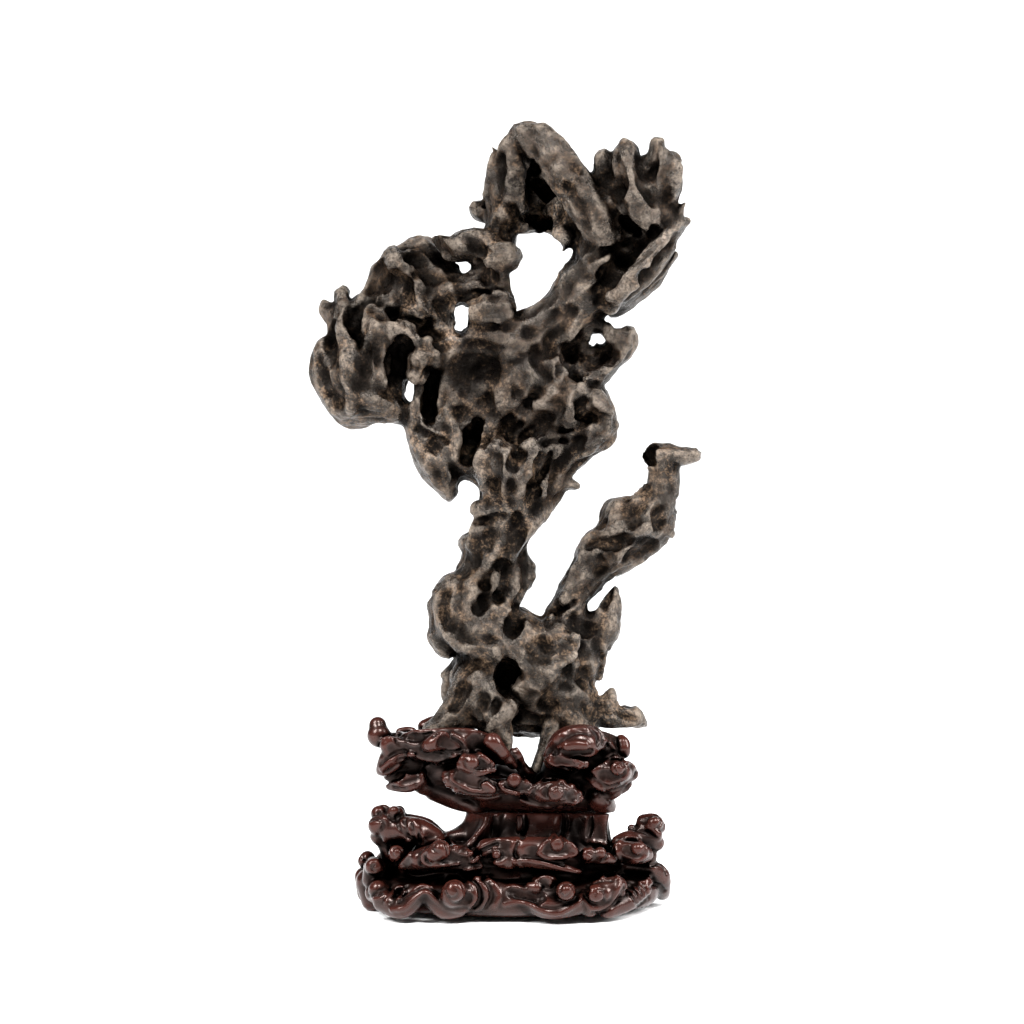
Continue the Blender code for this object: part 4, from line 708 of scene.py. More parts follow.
    ("scoop", 1.5, [(-18, 284, 4), (-20, 272, 4)]),
    ("scoop", 2.2, [(3, 292, 6), (-1, 278, 6), (-4, 268, 5)]),
    ("pit", -1, [(-8, 260, 4), (-4, 254, 5.5), (-5, 244, 6), (-11, 236, 5)]),
    ("pit", -0.5, [(-15, 260, 3), (-18, 251, 3.5), (-22, 243, 3.5)]),
    ("pit", -0.5, [(-20, 234, 4.5), (-26, 228, 5)]),
    ("swell", 0.8, [(-30, 241, 3), (-25, 240, 3.2), (-20, 238, 2.8)]),
    ("swell", 0.9, [(-28, 231, 3.4), (-26, 225, 3.8)]),
    ("swell", 0.8, [(-7, 250, 2.8), (-12, 243, 2.8)]),
    ("edge", 1.2, [(-7, 266, 1.9), (-11, 256, 2.2), (-16, 246, 1.9)]),
    ("swell", 0.9, [(-16, 265, 3.3), (-24, 256, 3.8), (-33, 246, 3.8)]),
    ("swell", 1.2, [(-46, 250, 3.8), (-47, 236, 4.8), (-44, 222, 4.8), (-36, 212, 5.2),
        (-25, 208, 5.7), (-14, 213, 5.2), (-4, 225, 4.8), (4, 238, 4.3), (9, 249, 3.8)]),
    ("edge", 1.2, [(-44, 246, 2.2), (-43, 232, 2.6), (-39, 219, 2.9), (-28, 212, 3.1),
        (-17, 217, 2.9), (-6, 231, 2.6), (3, 243, 2.4)]),
    ("swell", 1.2, [(12, 260, 4.8), (13, 252, 4.8)]),
    ("scoop", 1.7, [(-53, 240, 4.5), (-54, 228, 4.5), (-50, 215, 4.5)]),
    ("scoop", 2.4, [(-28, 193, 12)]),
    ("scoop", 1.9, [(5, 225, 5), (1, 213, 5)]),
    ("bore", -5, [(-5, 181, 9.5), (-4, 174, 11.5), (-7, 169, 9)], 1.7),
    ("swell", 1.8, [(54, 206, 6.6), (42, 196, 8.5), (28, 182, 8.5), (14, 170, 7.6),
        (2, 160, 6.6), (-9, 146, 5.7)]),
    ("scoop", 3.2, [(26, 204, 9), (18, 191, 8)]),
    ("scoop", 2.7, [(44, 204, 7), (38, 194, 7)]),
    ("scoop", 2.3, [(58, 205, 5), (58, 190, 7), (56, 175, 6)]),
    ("scoop", 3.2, [(46, 172, 9), (34, 160, 9), (26, 150, 7)]),
    ("edge", 1.2, [(66, 203, 1.9), (68, 190, 2.4), (65, 176, 2.2)]),
    ("swell", 1.3, [(-19, 188, 4.8), (-28, 172, 5.7), (-34, 158, 5.7), (-42, 146, 4.8)]),
    ("scoop", 2.1, [(-41, 168, 6), (-46, 155, 5)]),
    ("scoop", 2.2, [(-22, 160, 6), (-28, 148, 5.5)]),
    ("groove", 0, [(-10, 158, 2.6), (-18, 148, 3), (-24, 138, 2.6)]),
    ("edge", 1.2, [(58, 151, 1.9), (66, 158, 2.4), (74, 162, 1.7)]),
    ("edge", 1.2, [(64, 150, 1.9), (76, 154, 2.4), (90, 148, 1.9)]),
    ("scoop", 1.3, [(66, 153, 3.4), (72, 148, 3.4)]),
    ("scoop", 1.3, [(84, 147, 3.6), (92, 143, 3.4)]),
    ("scoop", 1.7, [(30, 230, 5), (36, 222, 4)]),
    ("groove", 0, [(26, 224, 2.2), (36, 226, 3), (46, 232, 2.4)]),
    ("scoop", 2.5, [(48, 220, 7), (56, 214, 6)]),
    ("edge", 1.2, [(30, 222, 1.9), (38, 233, 2.4), (44, 247, 2.4), (48, 262, 2.4),
        (58, 272, 2.4)]),
    ("scoop", 2.5, [(56, 262, 7), (66, 254, 6)]),
    ("bore", -1, [(57, 274, 3.5), (68, 277, 5), (80, 278, 5.5), (90, 279, 3.5)], 1.4),
    ("edge", 1.2, [(62, 284, 1.9), (80, 287, 2.4), (98, 288, 2.9), (118, 284, 1.9)]),
    ("swell", 1.7, [(79, 304, 5.7), (79, 297, 7.6), (78, 290, 6.6)]),
    ("swell", 1.4, [(90, 302, 5.7), (99, 312, 5.7)]),
    ("scoop", 2.3, [(88, 307, 6), (90, 294, 6)]),
    ("edge", 1.2, [(99, 322, 2.2), (102, 308, 2.9), (103, 294, 2.6)]),
    ("scoop", 2.3, [(110, 303, 6), (113, 292, 6)]),
    ("scoop", 2.4, [(98, 274, 7), (106, 266, 6), (90, 264, 6)]),
    ("edge", 1.2, [(84, 277, 1.9), (80, 266, 2.4), (76, 256, 2.2)]),
    ("bore", -4, [(102, 347, 5.5), (103, 340, 5.5)], 1.6),
    ("edge", 1.2, [(100, 333, 1.7), (110, 333, 2.2), (118, 335, 1.7)]),
    ("edge", 1.2, [(119, 333, 1.4), (121, 320, 1.9), (119, 309, 1.7)]),
    ("scoop", 1.1, [(69, 228, 3), (71, 236, 3.2), (73, 242, 2.2)], 1.5),
]


# Gaps that light comes through: (x, v, r) on the drawing, and how far they reach in depth.
stoneWindows = [
    ([(-77.3, 385, 2.6), (-77.3, 395, 2.8)], 16),
    ([(-38, 450, 4.6), (-38.5, 443, 5.0), (-40, 438, 3.6)], 12),
    ([(-36, 481.5, 3.0), (-35, 484.5, 2.0)], 18),
    ([(58, 427, 1.8), (60, 431, 1.4)], 18),
    ([(60, 230, 3.0), (65, 237, 2.6), (71, 246, 2.6)], 14),
    ([(6, 501, 3.5), (20, 504, 4.5), (33, 497, 4.0)], 10),
]

# Painted shade and painted highlights: spots where the stone is painted darker or paler than
# elsewhere: (x, v, reach) on the drawing, and how much.
paintedLightSpots = [
    (-30, 404, 24, 0.25),
    (-18, 412, 14, 0.6),
    (-16, 448, 16, 0.75),
    (-66, 490, 18, 0.7),
    (24, 402, 10, 0.5),
    (34, 356, 12, 0.4),
    (-16, 245, 14, 0.6),
    (66, 552, 9, 0.6),
    (5, 545, 14, 0.6),
    (-47, 425, 7, 2.2),
    (8, 373, 7, 1.9),
    (36, 384, 8, 1.8),
    (-60, 342, 12, 1.4),
    (112, 505, 8, 1.8),
    (98, 488, 9, 1.7),
    (28, 565, 12, 1.4),
    (44, 196, 9, 1.5),
    (20, 440, 12, 1.4),
    (-46, 432, 6, 1.6),
]


# paints the spots on the stone: below 1 painted shade, above 1 painted highlight
def markPaintedLight(piece):
    points, _, _ = meshArrays(piece.data)
    x, v, _ = onDrawing(points).T
    paintedShadeAndLight = np.ones(len(points))
    for spotX, spotV, reach, level in paintedLightSpots:
        share = np.exp(-((x - spotX) ** 2 + (v - spotV) ** 2) / reach**2)
        paintedShadeAndLight *= 1 + (level - 1) * share
    layer = piece.data.attributes.new("paintedShadeAndLight", "FLOAT_COLOR", "POINT")
    colours = np.stack([paintedShadeAndLight, paintedShadeAndLight, paintedShadeAndLight, np.ones(len(points))], 1)
    layer.data.foreach_set("color", colours.astype(np.float32).ravel())


# The ways that limbs run, in degrees from upright towards the right.
runs = {"runsUp": 0, "runsRight": 42, "runsLeft": -42, "runsAcross": 90}
runSettings = {"sharpness": 10, "blurRounds": 14, "batch": 20000}


# for each vertex, how much the nearest limb runs each way
def markRuns(piece, points):
    middles, ways = [], []
    for row in stoneShapes:
        if row[0] != "limb":
            continue
        path = smoothPath([(*stonePlace(*p[:3]), p[3]) for p in row[1]])
        for a, b in zip(path[:-1], path[1:]):
            middles.append((*((a[:3] + b[:3]) / 2), (a[3] + b[3]) / 2))
            ways.append(math.atan2(b[0] - a[0], b[1] - a[1]))
    middles = np.array(middles, np.float32)
    ways = np.array(ways)
    nearest = np.empty(len(points), int)
    for start in range(0, len(points), runSettings["batch"]):
        some = slice(start, start + runSettings["batch"])
        away = ((points[some, None, :] - middles[None, :, :3]) ** 2).sum(2)
        nearest[some] = (np.sqrt(away) - middles[None, :, 3]).argmin(1)
    _, _, edges = meshArrays(piece.data)
    shares = []
    for lean in runs.values():
        along = np.abs(np.cos(ways[nearest] - math.radians(lean)))
        shares.append(along ** runSettings["sharpness"])
    shares = np.stack(shares, 1)
    for _ in range(runSettings["blurRounds"]):
        shares = nextTo(shares, edges, len(points))
    shares /= shares.sum(1)[:, None]
    for k, way in enumerate(runs):
        storeValue(piece, way, shares[:, k])


# the stone is deeper than drawn, and twists a little as it rises
def stonePlace(x, v, y):
    low, rise, start, over = stoneSettings["twist"]
    return seenAt(x, v, y * stoneSettings["deepening"] + x * (low + rise * (v - start) / over))


# How the worn cells look: how far the pattern wanders (size, push, in metres), how the
# cells lie, how wide a cell's bowl is and how much of its rim stands proud.
cells = {
    "wander": ((0.040, 0.010), (0.014, 0.004)),
    "calmRounds": 4,
    "randomness": 0.9,
    "layerShift": 7.3,
    "bowlWidth": 0.68,
    "bowlLimit": 1.3,
    "bowlSink": 0.95,
}


# long scoops of three sizes, worn along the run of each limb, pushed in along the normal
def weatheringTree():
    tree = bpy.data.node_groups.new("stoneWeathering", "GeometryNodeTree")
    face = tree.interface
    face.new_socket(name="Geometry", in_out="INPUT", socket_type="NodeSocketGeometry")
    sizes = ("Scoop Size", "Scoop Depth", "Dent Size", "Dent Depth", "Pock Size", "Pock Depth")
    for name in (*sizes, "Stretch"):
        face.new_socket(name=name, in_out="INPUT", socket_type="NodeSocketFloat")
    face.new_socket(name="Seed", in_out="INPUT", socket_type="NodeSocketInt")
    face.new_socket(name="Material", in_out="INPUT", socket_type="NodeSocketMaterial")
    face.new_socket(name="Geometry", in_out="OUTPUT", socket_type="NodeSocketGeometry")
    given = addNode(tree, "NodeGroupInput")
    position = addNode(tree, "GeometryNodeInputPosition").outputs[0]
    normal = addNode(tree, "GeometryNodeInputNormal").outputs[0]
    calm = addNode(tree, "GeometryNodeBlurAttribute", data_type="FLOAT_VECTOR")
    feed(tree, calm, "Iterations", cells["calmRounds"])
    link(tree, normal, [s for s in calm.inputs if s.enabled and s.name == "Value"][0])
    outward = vectorCalc(tree, "NORMALIZE", [s for s in calm.outputs if s.enabled][0])
    # the pattern wanders, so that no scoop is a plain oval
    wandering = position
    for size, push in cells["wander"]:
        drift = addNode(tree, "ShaderNodeTexNoise", noise_dimensions="3D")
        feed(tree, drift, "Vector", position)
        feed(tree, drift, "Scale", 1 / size)
        feed(tree, drift, "Detail", 1.0)
        centred = vectorCalc(tree, "SUBTRACT", drift.outputs["Color"], (0.5, 0.5, 0.5))
        wandering = vectorCalc(tree, "ADD", wandering, scaled(tree, centred, push * 2))
    squeeze = addNode(tree, "ShaderNodeCombineXYZ")
    feed(tree, squeeze, "X", 1.0)
    feed(tree, squeeze, "Y", 1.0)
    feed(tree, squeeze, "Z", calc(tree, "DIVIDE", 1.0, given.outputs["Stretch"]))
    total = None
    for way, lean in runs.items():
        turned = addNode(tree, "ShaderNodeVectorRotate", rotation_type="Y_AXIS")
        feed(tree, turned, "Vector", wandering)
        feed(tree, turned, "Angle", math.radians(-lean))
        grain = vectorCalc(tree, "MULTIPLY", turned.outputs[0], squeeze.outputs[0])
        share = addNode(tree, "GeometryNodeInputNamedAttribute", data_type="FLOAT")
        feed(tree, share, "Name", way)
        ofThis = [s for s in share.outputs if s.enabled][0]
        for i, name in enumerate(("Scoop", "Dent", "Pock")):
            cell = addNode(tree, "ShaderNodeTexVoronoi", voronoi_dimensions="4D", feature="F1")
            layer = calc(tree, "ADD", given.outputs["Seed"], cells["layerShift"] * i + lean)
            feed(tree, cell, "Vector", grain)
            feed(tree, cell, "W", layer)
            feed(tree, cell, "Scale", calc(tree, "DIVIDE", 1.0, given.outputs[name + " Size"]))
            feed(tree, cell, "Randomness", cells["randomness"])
            ratio = calc(tree, "DIVIDE", cell.outputs["Distance"], cells["bowlWidth"])
            ratio = calc(tree, "MINIMUM", ratio, cells["bowlLimit"])
            bowl = calc(tree, "SUBTRACT", calc(tree, "MULTIPLY", ratio, ratio), cells["bowlSink"])
            push = calc(tree, "MULTIPLY", bowl, given.outputs[name + " Depth"])
            push = calc(tree, "MULTIPLY", push, ofThis)
            total = push if total is None else calc(tree, "ADD", total, push)
    moved = addNode(tree, "GeometryNodeSetPosition")
    link(tree, given.outputs["Geometry"], moved.inputs["Geometry"])
    link(tree, scaled(tree, outward, total), moved.inputs["Offset"])
    real = addNode(tree, "GeometryNodeRealizeInstances")
    link(tree, moved.outputs[0], real.inputs[0])
    paint = addNode(tree, "GeometryNodeSetMaterial")
    link(tree, real.outputs[0], paint.inputs["Geometry"])
    link(tree, given.outputs["Material"], paint.inputs["Material"])
    done = addNode(tree, "NodeGroupOutput")
    link(tree, paint.outputs[0], done.inputs[0])
    return tree


def useTree(piece, tree, values):
    modifier = piece.modifiers.new(tree.name, "NODES")
    modifier.node_group = tree
    for item in tree.interface.items_tree:
        if item.in_out == "INPUT" and item.name in values:
            modifier[item.identifier] = values[item.name]
    applyModifiers(piece)


# a scoop's w is its half width and height how far it goes in; a ridge is sunk until only
# height stands out; other kinds are raised by height
def workFront(clay, lines):
    for kind, height, points, *more in lines:
        path = clay.onFront(points)
        if not path:
            continue
        rows = []
        for x, v, y, w in path:
            if kind in dips:
                r = (w * w + height * height) / (2 * height)
                rows.append((x, v, y - (r - height), r))
            elif kind in ridges:
                r = w * ridgeWidth
                rows.append((x, v, y + r - height, r))
            else:
                rows.append((x, v, y - height, w))
        clay.shape(kind, rows, *more)


def layShapes(clay, rows, place=seenAt, deepening=1.0):
    for kind, points, *more in rows:
        deep = more[0] if more else 1.0
        blend = more[1] if len(more) > 1 else None
        clay.shape(kind, points, deep * deepening, blend, place)


def shapeStone():
    clay = Clay(*stoneSettings["block"], stoneSettings["voxel"])
    layShapes(clay, stoneShapes, stonePlace, stoneSettings["deepening"])
    workFront(clay, stoneLines)
    for points, deep in stoneWindows:
        for side in (-1, 1):
            reach = side * stoneSettings["windowReach"]
            path = [(*seenAt(x, v, reach), r) for x, v, r in points]
            clay.shape("bore", path, deep, None)
    say("stone: clay shaped")
    points, quads = clay.surface()
    say("stone: %d quads" % len(quads))
    return clay, points, quads


# Both tiers of the stand, then what is the upper tier's own.
standSettings = {
    "voxel": 0.75,
    "triangles": 196000,
    "seam": 76.0,
    "seamGap": 0.15,
    "relief": (30, 0.22),
}

topSettings = {"block": ((-114, 62, -86), (108, 154, 78)), "socketGap": 0.5}

topShapes = [
    ("limb", [(-60, 104, 0, 14), (-30, 103, 0, 17), (-6, 97, 0, 14), (14, 93, 0, 12.5),
        (32, 98, 0, 16), (60, 104, 0, 16)], 2, 6),
    ("limb", [(-20, 86, -4, 12), (10, 86, -4, 13), (45, 86, -4, 13), (61, 86, -2, 12)], 1.5, 5),
    ("limb", [(-82, 112, -20, 9), (-70, 106, -16, 10)], 1, 4),
    ("limb", [(-38, 127, -42, 6.5), (-26, 125, -42, 6.5), (-17, 121, -42, 6)], 1, 4),
    ("limb", [(-60, 88, -14, 6), (-46, 83, -12, 7), (-34, 79, -10, 7), (-28, 73, -8, 7)], 1.2, 4),
    ("limb", [(-72, 121, -32, 8), (-56, 120, -34, 9), (-40, 119, -34, 9), (-26, 118, -32, 9)], 1, 4),
    ("limb", [(-78, 118, 0, 14), (-60, 120, -6, 13), (-40, 118, -10, 13)], 2, 6),
    ("limb", [(40, 118, -6, 18), (60, 120, -2, 16)], 1.8, 6),
    ("bead", [(-102, 139.3, -16, 6.6)]),
    ("limb", [(-101, 131.5, -18, 9)], 1, 2),
    ("limb", [(-98, 128, -12, 6), (-88, 126, -10, 8)], 1, 4),
    ("bead", [(-94, 124, -34, 6.4)]),
    ("limb", [(-84, 124, -28, 6), (-90, 116, -30, 9.5), (-96, 108, -28, 7),
        (-100, 104.5, -26, 3.5)], 1, 3),
    ("limb", [(-93, 92, -20, 2.2), (-86, 93, -26, 4.5), (-78, 95, -30, 6.5), (-70, 98, -30, 5)], 1, 3),
    ("bead", [(-79.5, 99.5, -36, 4.6)]),
    ("limb", [(-94, 101, -22, 4), (-86, 100, -22, 6), (-76, 100, -22, 7)], 1, 3),
    ("limb", [(-30, 122, -30, 10), (-20, 120, -28, 9)], 1, 4),
    ("limb", [(62, 112, -24, 9), (76, 112, -22, 7)], 1, 4),
    ("limb", [(-68, 93, -24, 6.5), (-60, 91, -18, 7), (-46, 88, -14, 8)], 1, 4),
    ("limb", [(-85, 134, 8, 3.5), (-80, 135, 8, 3.5), (-76, 134.5, 8, 3.5)], 1, 3),
    ("limb", [(-66, 138, 24, 6), (-58, 141, 26, 6), (-50, 138, 26, 6)], 1, 4),
    ("limb", [(-80, 128, -30, 5), (-70, 130, -36, 6), (-58, 130, -40, 6.5), (-44, 129, -42, 7),
        (-30, 129, -42, 7), (-22, 127, -40, 6)], 1, 4),
    ("bead", [(-58, 126.5, -47, 7), (-55, 126.5, -47, 7)]),
    ("limb", [(-46, 125, -44, 8), (-40, 122, -44, 7)], 1, 3),
    ("bead", [(-20, 127, -48, 5.5), (-14, 124.5, -48, 6.2), (-10, 120, -46, 5.5)]),
    ("limb", [(-8, 116, -40, 7), (-1, 115, -38, 7), (4, 111, -34, 4.6), (9, 104, -30, 5)], 1, 3),
    ("limb", [(-40, 108, -52, 3), (-33, 109, -54, 8), (-24, 108, -54, 7), (-17, 107, -52, 3)], 0.9, 3),
    ("bead", [(-31, 111, -60, 5)]),
    ("limb", [(-50, 101, -46, 4), (-42, 98, -50, 7.5), (-30, 94.5, -52, 8.5), (-18, 92, -50, 6),
        (-12, 89, -48, 3)], 0.9, 3),
    ("limb", [(-16, 94, -48, 4), (-4, 93, -52, 6), (6, 92.5, -52, 5.5), (14, 91.5, -48, 3)], 0.9, 3),
    ("bead", [(0.8, 97, -56, 5.3)]),
    ("limb", [(16, 88, -46, 5), (28, 88, -50, 8.6), (40, 87, -49, 7.5), (48, 84.5, -46, 4)], 0.9, 3),
    ("bead", [(31, 89.5, -56, 4.5), (35, 86, -56, 4.5)]),
    ("limb", [(8, 83, -42, 3), (20, 82, -44, 4), (36, 81, -46, 3.5)], 1, 3),
    ("limb", [(34, 114, -36, 11), (40, 124, -36, 13), (50, 127, -38, 13), (58, 127, -36, 12)], 1, 4),
    ("limb", [(30, 113, -46, 3), (42, 111, -48, 3.5), (54, 110, -46, 3.5)], 1, 2),
    ("bead", [(42, 124, -50, 4), (53, 124.3, -50, 4)]),
    ("limb", [(66, 124, -22, 11), (74, 122, -14, 10), (78, 120, -10, 8.5)], 1, 4),
    ("limb", [(82, 121, -20, 5.4), (82, 126, -18, 4.5)], 1, 2),
    ("limb", [(60, 99, -36, 4), (68, 98, -38, 8), (76, 101, -36, 9), (84, 103, -28, 7),
        (89, 101, -24, 4.5)], 1, 3),
    ("bead", [(79.5, 106, -44, 4.4)]),
    ("limb", [(76, 90, -28, 6), (84, 93, -24, 4.5)], 1, 3),
    ("limb", [(66, 84, -20, 10), (70, 78, -12, 8)], 1, 3),
    ("limb", [(13, 103, -26, 4.5), (10, 98, -26, 5)], 1, 3),
    ("limb", [(-74, 118, 34, 9), (-62, 128, 37, 11), (-50, 128, 38, 9)], 1, 4),
    ("limb", [(-40, 116, 42, 9), (-24, 108, 45, 9), (-8, 100, 46, 8), (6, 95, 46, 7)], 1, 4),
    ("limb", [(32, 112, 38, 10), (48, 121, 38, 12), (64, 118, 32, 10), (76, 112, 24, 8)], 1, 4),
    ("limb", [(-52, 98, 42, 5), (-36, 93, 47, 8), (-18, 91, 48, 6)], 1, 3),
    ("limb", [(16, 92, 45, 6), (32, 88, 48, 9), (50, 92, 42, 6)], 1, 3),
    ("bead", [(-62, 127, 49, 6)]),
    ("bead", [(-28, 110, 54, 5.6)]),
    ("bead", [(2, 94, 53, 5)]),
    ("bead", [(52, 118, 50, 6.2)]),
    ("bead", [(76, 106, 34, 5)]),
    ("limb", [(-86, 108, 14, 8), (-76, 104, 26, 8), (-66, 100, 34, 7)], 1, 3),
    ("limb", [(82, 100, 10, 7), (78, 96, 22, 7), (68, 94, 32, 7)], 1, 3),
]

# The ring under the bottom tier; waist is the span whose top is cut level for the upper tier.
# Shapes nearer the viewer than repeatedFrom come again at the back.
baseSettings = {
    "block": ((-126, -14, -90), (126, 92, 84)),
    "ringHeight": 15.5,
    "ringRadiusX": 100.0,
    "ringRadiusY": 50.0,
    "ringThickness": 12,
    "ringPoints": 24,
    "repeatedFrom": -40,
    "waist": (-50, 82),
}

baseShapes = [
    ("limb", [(-58, 16, 0, 11), (58, 16, 0, 11)], 4.2, 5),
    ("limb", [(-86, 16, 0, 9), (86, 16, 0, 9)], 2.8, 5),
    ("limb", [(-52, 29, 0, 14), (52, 29, 0, 14)], 2.4, 5),
    ("limb", [(-44, 43, 0, 11), (44, 43, 0, 11)], 3.2, 5),
    ("limb", [(-110, 38, 6, 6), (-112, 36, 4, 5.5)], 1, 2),
    ("limb", [(-104.6, 31, -22, 8.5), (-106, 22, -22, 8)], 1, 3),
    ("limb", [(-101, 15, -30, 8), (-104, 12, -28, 8)], 1, 3),
    ("limb", [(-108, 20, -8, 11), (-106, 6.6, -8, 9)], 1, 4),
    ("limb", [(-112, 24, 10, 8), (-110, 12, 12, 8)], 1, 4),
    ("limb", [(-98, 5, -46, 8), (-86, 0, -56, 8), (-78, 3, -60, 7), (-68, 12, -60, 7),
        (-60, 6, -60, 7), (-52, 0, -59, 8), (-42, 0.5, -58, 7.5)], 1, 3),
    ("limb", [(-44, 9, -58, 9), (-36, 9, -56, 9)], 1, 3),
    ("bead", [(-44, 11, -66, 8.4)]),
    ("limb", [(-28, 14, -54, 9), (-18, 13, -52, 9), (-10, 12, -52, 8)], 1, 3),
    ("limb", [(0, 11, -52, 8), (12, 5.5, -55, 7.5), (24, 0.4, -60, 8), (36, 0.2, -61, 8),
        (48, 3, -60, 8)], 1, 3),
    ("limb", [(20, 20, -50, 6), (28, 22, -52, 5)], 1, 3),
    ("bead", [(40, 13, -64, 7.4)]),
    ("limb", [(58, 1.5, -57, 8), (66, 12, -56, 9.5), (78, 16, -52, 8.5)], 1, 3),
    ("limb", [(69, 11, -62, 5)], 1, 2),
    ("limb", [(72, -0.2, -53, 7.5), (84, 4, -44, 7.5), (96, 12, -36, 7), (101, 18, -30, 5)], 1, 3),
    ("limb", [(104, 30, -14, 7), (110, 24, -6, 9), (113, 14, 4, 6), (113, 12, 12, 6)], 1, 3),
    ("limb", [(74, 41.7699, 0, 10), (64.0859, 43.5469, 17, 10), (37, 44.8477, 29.4449, 10),
        (4.53119e-15, 45.3239, 34, 10), (-37, 44.8477, 29.4449, 10),
        (-64.0859, 43.5469, 17, 10), (-74, 41.7699, 4.1638e-15, 10),
        (-64.0859, 39.9929, -17, 10), (-37, 38.6921, -29.4449, 10),
        (-1.35936e-14, 38.216, -34, 10), (37, 38.6921, -29.4449, 10),
        (64.0859, 39.9929, -17, 10), (74, 41.7699, -8.3276e-15, 10)], 1, 4),
    ("limb", [(84, 28.8411, 0, 9), (72.7461, 30.7226, 18, 9), (42, 32.1, 31.1769, 9),
        (5.14352e-15, 32.6042, 36, 9), (-42, 32.1, 31.1769, 9), (-72.7461, 30.7226, 18, 9),
        (-84, 28.8411, 4.40873e-15, 9), (-72.7461, 26.9596, -18, 9),
        (-42, 25.5823, -31.1769, 9), (-1.54305e-14, 25.0781, -36, 9),
        (42, 25.5823, -31.1769, 9), (72.7461, 26.9596, -18, 9), (84, 28.8411, -8.81746e-15, 9)], 1, 4),
    ("limb", [(-84, 32, -36, 3), (-74, 36, -44, 6.5), (-60, 38.5, -48, 9),
        (-46, 37.5, -48, 8.5), (-34, 36, -46, 7), (-26, 31.5, -44, 2.5)], 0.8, 3),
    ("bead", [(-56, 42.5, -56, 8.4)]),
    ("limb", [(-88, 41, -34, 6.2)], 1, 2),
    ("limb", [(-92, 60, -24, 10), (-80, 60, -28, 10), (-70, 58, -32, 10), (-60, 54, -34, 8)], 1, 4),
    ("limb", [(-98, 72.5, -16, 6.8), (-101, 72, -18, 6.5)], 1, 2),
    ("limb", [(-102, 63, -24, 7.5), (-96, 66, -26, 7), (-88, 71, -22, 6.5)], 1, 2),
    ("limb", [(-102, 55, -18, 6), (-97, 50, -16, 6), (-94, 42, -16, 6)], 1, 3),
    ("limb", [(-86, 74, -14, 4.5)], 1, 2),
    ("limb", [(-78, 64, -14, 8), (-66, 61, -10, 8), (-54, 53, -8, 6), (-46, 53, -16, 5.5),
        (-38, 55, -18, 5)], 1, 4),
    ("limb", [(-20, 46, -46, 7), (-4, 47, -48, 7.5), (12, 47, -50, 7.5), (26, 46, -52, 8),
        (40, 45, -52, 6), (46, 43, -50, 4)], 0.9, 3),
    ("bead", [(33, 48, -60, 4.6)]),
    ("limb", [(4, 37, -50, 4.5), (18, 35, -54, 4.5), (34, 32, -54, 4), (50, 28, -52, 1.6)], 1, 3),
    ("limb", [(-9, 36, -50, 5.5), (-3, 35, -50, 5.5)], 1, 3),
    ("bead", [(-12.5, 41, -53, 3.2)]),
    ("limb", [(58, 40, -46, 6), (66, 39, -46, 6), (74, 37, -42, 4)], 1, 3),
    ("limb", [(82, 44, -36, 7), (92, 42, -34, 8.5), (100, 41, -26, 6)], 1, 3),
    ("bead", [(93.5, 45, -42, 4.6)]),
    ("limb", [(80, 50, -26, 6), (86, 52, -22, 7), (96, 52, -18, 8), (108, 50, -14, 6.5)], 1, 3),
    ("limb", [(89.5, 61, -16, 3.2)], 1, 2),
    ("limb", [(99, 66, -12, 6), (106, 66, -14, 6.5), (110, 62, -14, 5.5)], 1, 2),
    ("limb", [(98, 58, -18, 5), (108, 56, -20, 5)], 1, 3),
    ("limb", [(104, 40, -14, 5), (102, 35, -14, 5)], 1, 3),
    ("limb", [(86, 33, -10, 8), (98, 31, -8, 8)], 1.4, 3),
    ("limb", [(-96, 36, -4, 8), (-84, 37, 0, 9)], 1.4, 3),
    ("limb", [(-92, 50, -12, 7), (-82, 48, -10, 8)], 1, 4),
    ("limb", [(-28, 77, -8, 7), (-29, 68, -8, 7.5), (-34, 60, -10, 7), (-46, 53, -12, 6)], 1.2, 4),
    ("limb", [(-24, 52, -14, 14), (-20, 66, -10, 13), (-19, 76, -8, 13)], 1.2, 4),
    ("limb", [(60, 52, -10, 14), (60, 66, -8, 12.5)], 1.4, 4),
    ("limb", [(0, 50, -6, 16), (30, 52, -6, 18), (55, 52, -4, 16)], 1.4, 6),
    ("limb", [(0, 64, 0, 16), (30, 64, 0, 18), (50, 64, 0, 16)], 1.3, 6),
    ("limb", [(-32, 48, -34, 4), (-25, 56, -30, 4), (-20, 66, -26, 4), (-19, 72, -24, 4)], 1, 3),
    ("limb", [(5, 60, -26, 2.4), (5, 72, -26, 2.4)], 1, 2),
    ("limb", [(49, 44, -40, 3.4), (48, 54, -37, 3.4), (45, 66, -34, 3.4), (44, 73, -32, 3.4)], 1, 2),
    ("limb", [(68, 50, -24, 5), (67, 62, -22, 4.5), (68, 72, -20, 5)], 1, 2),
]

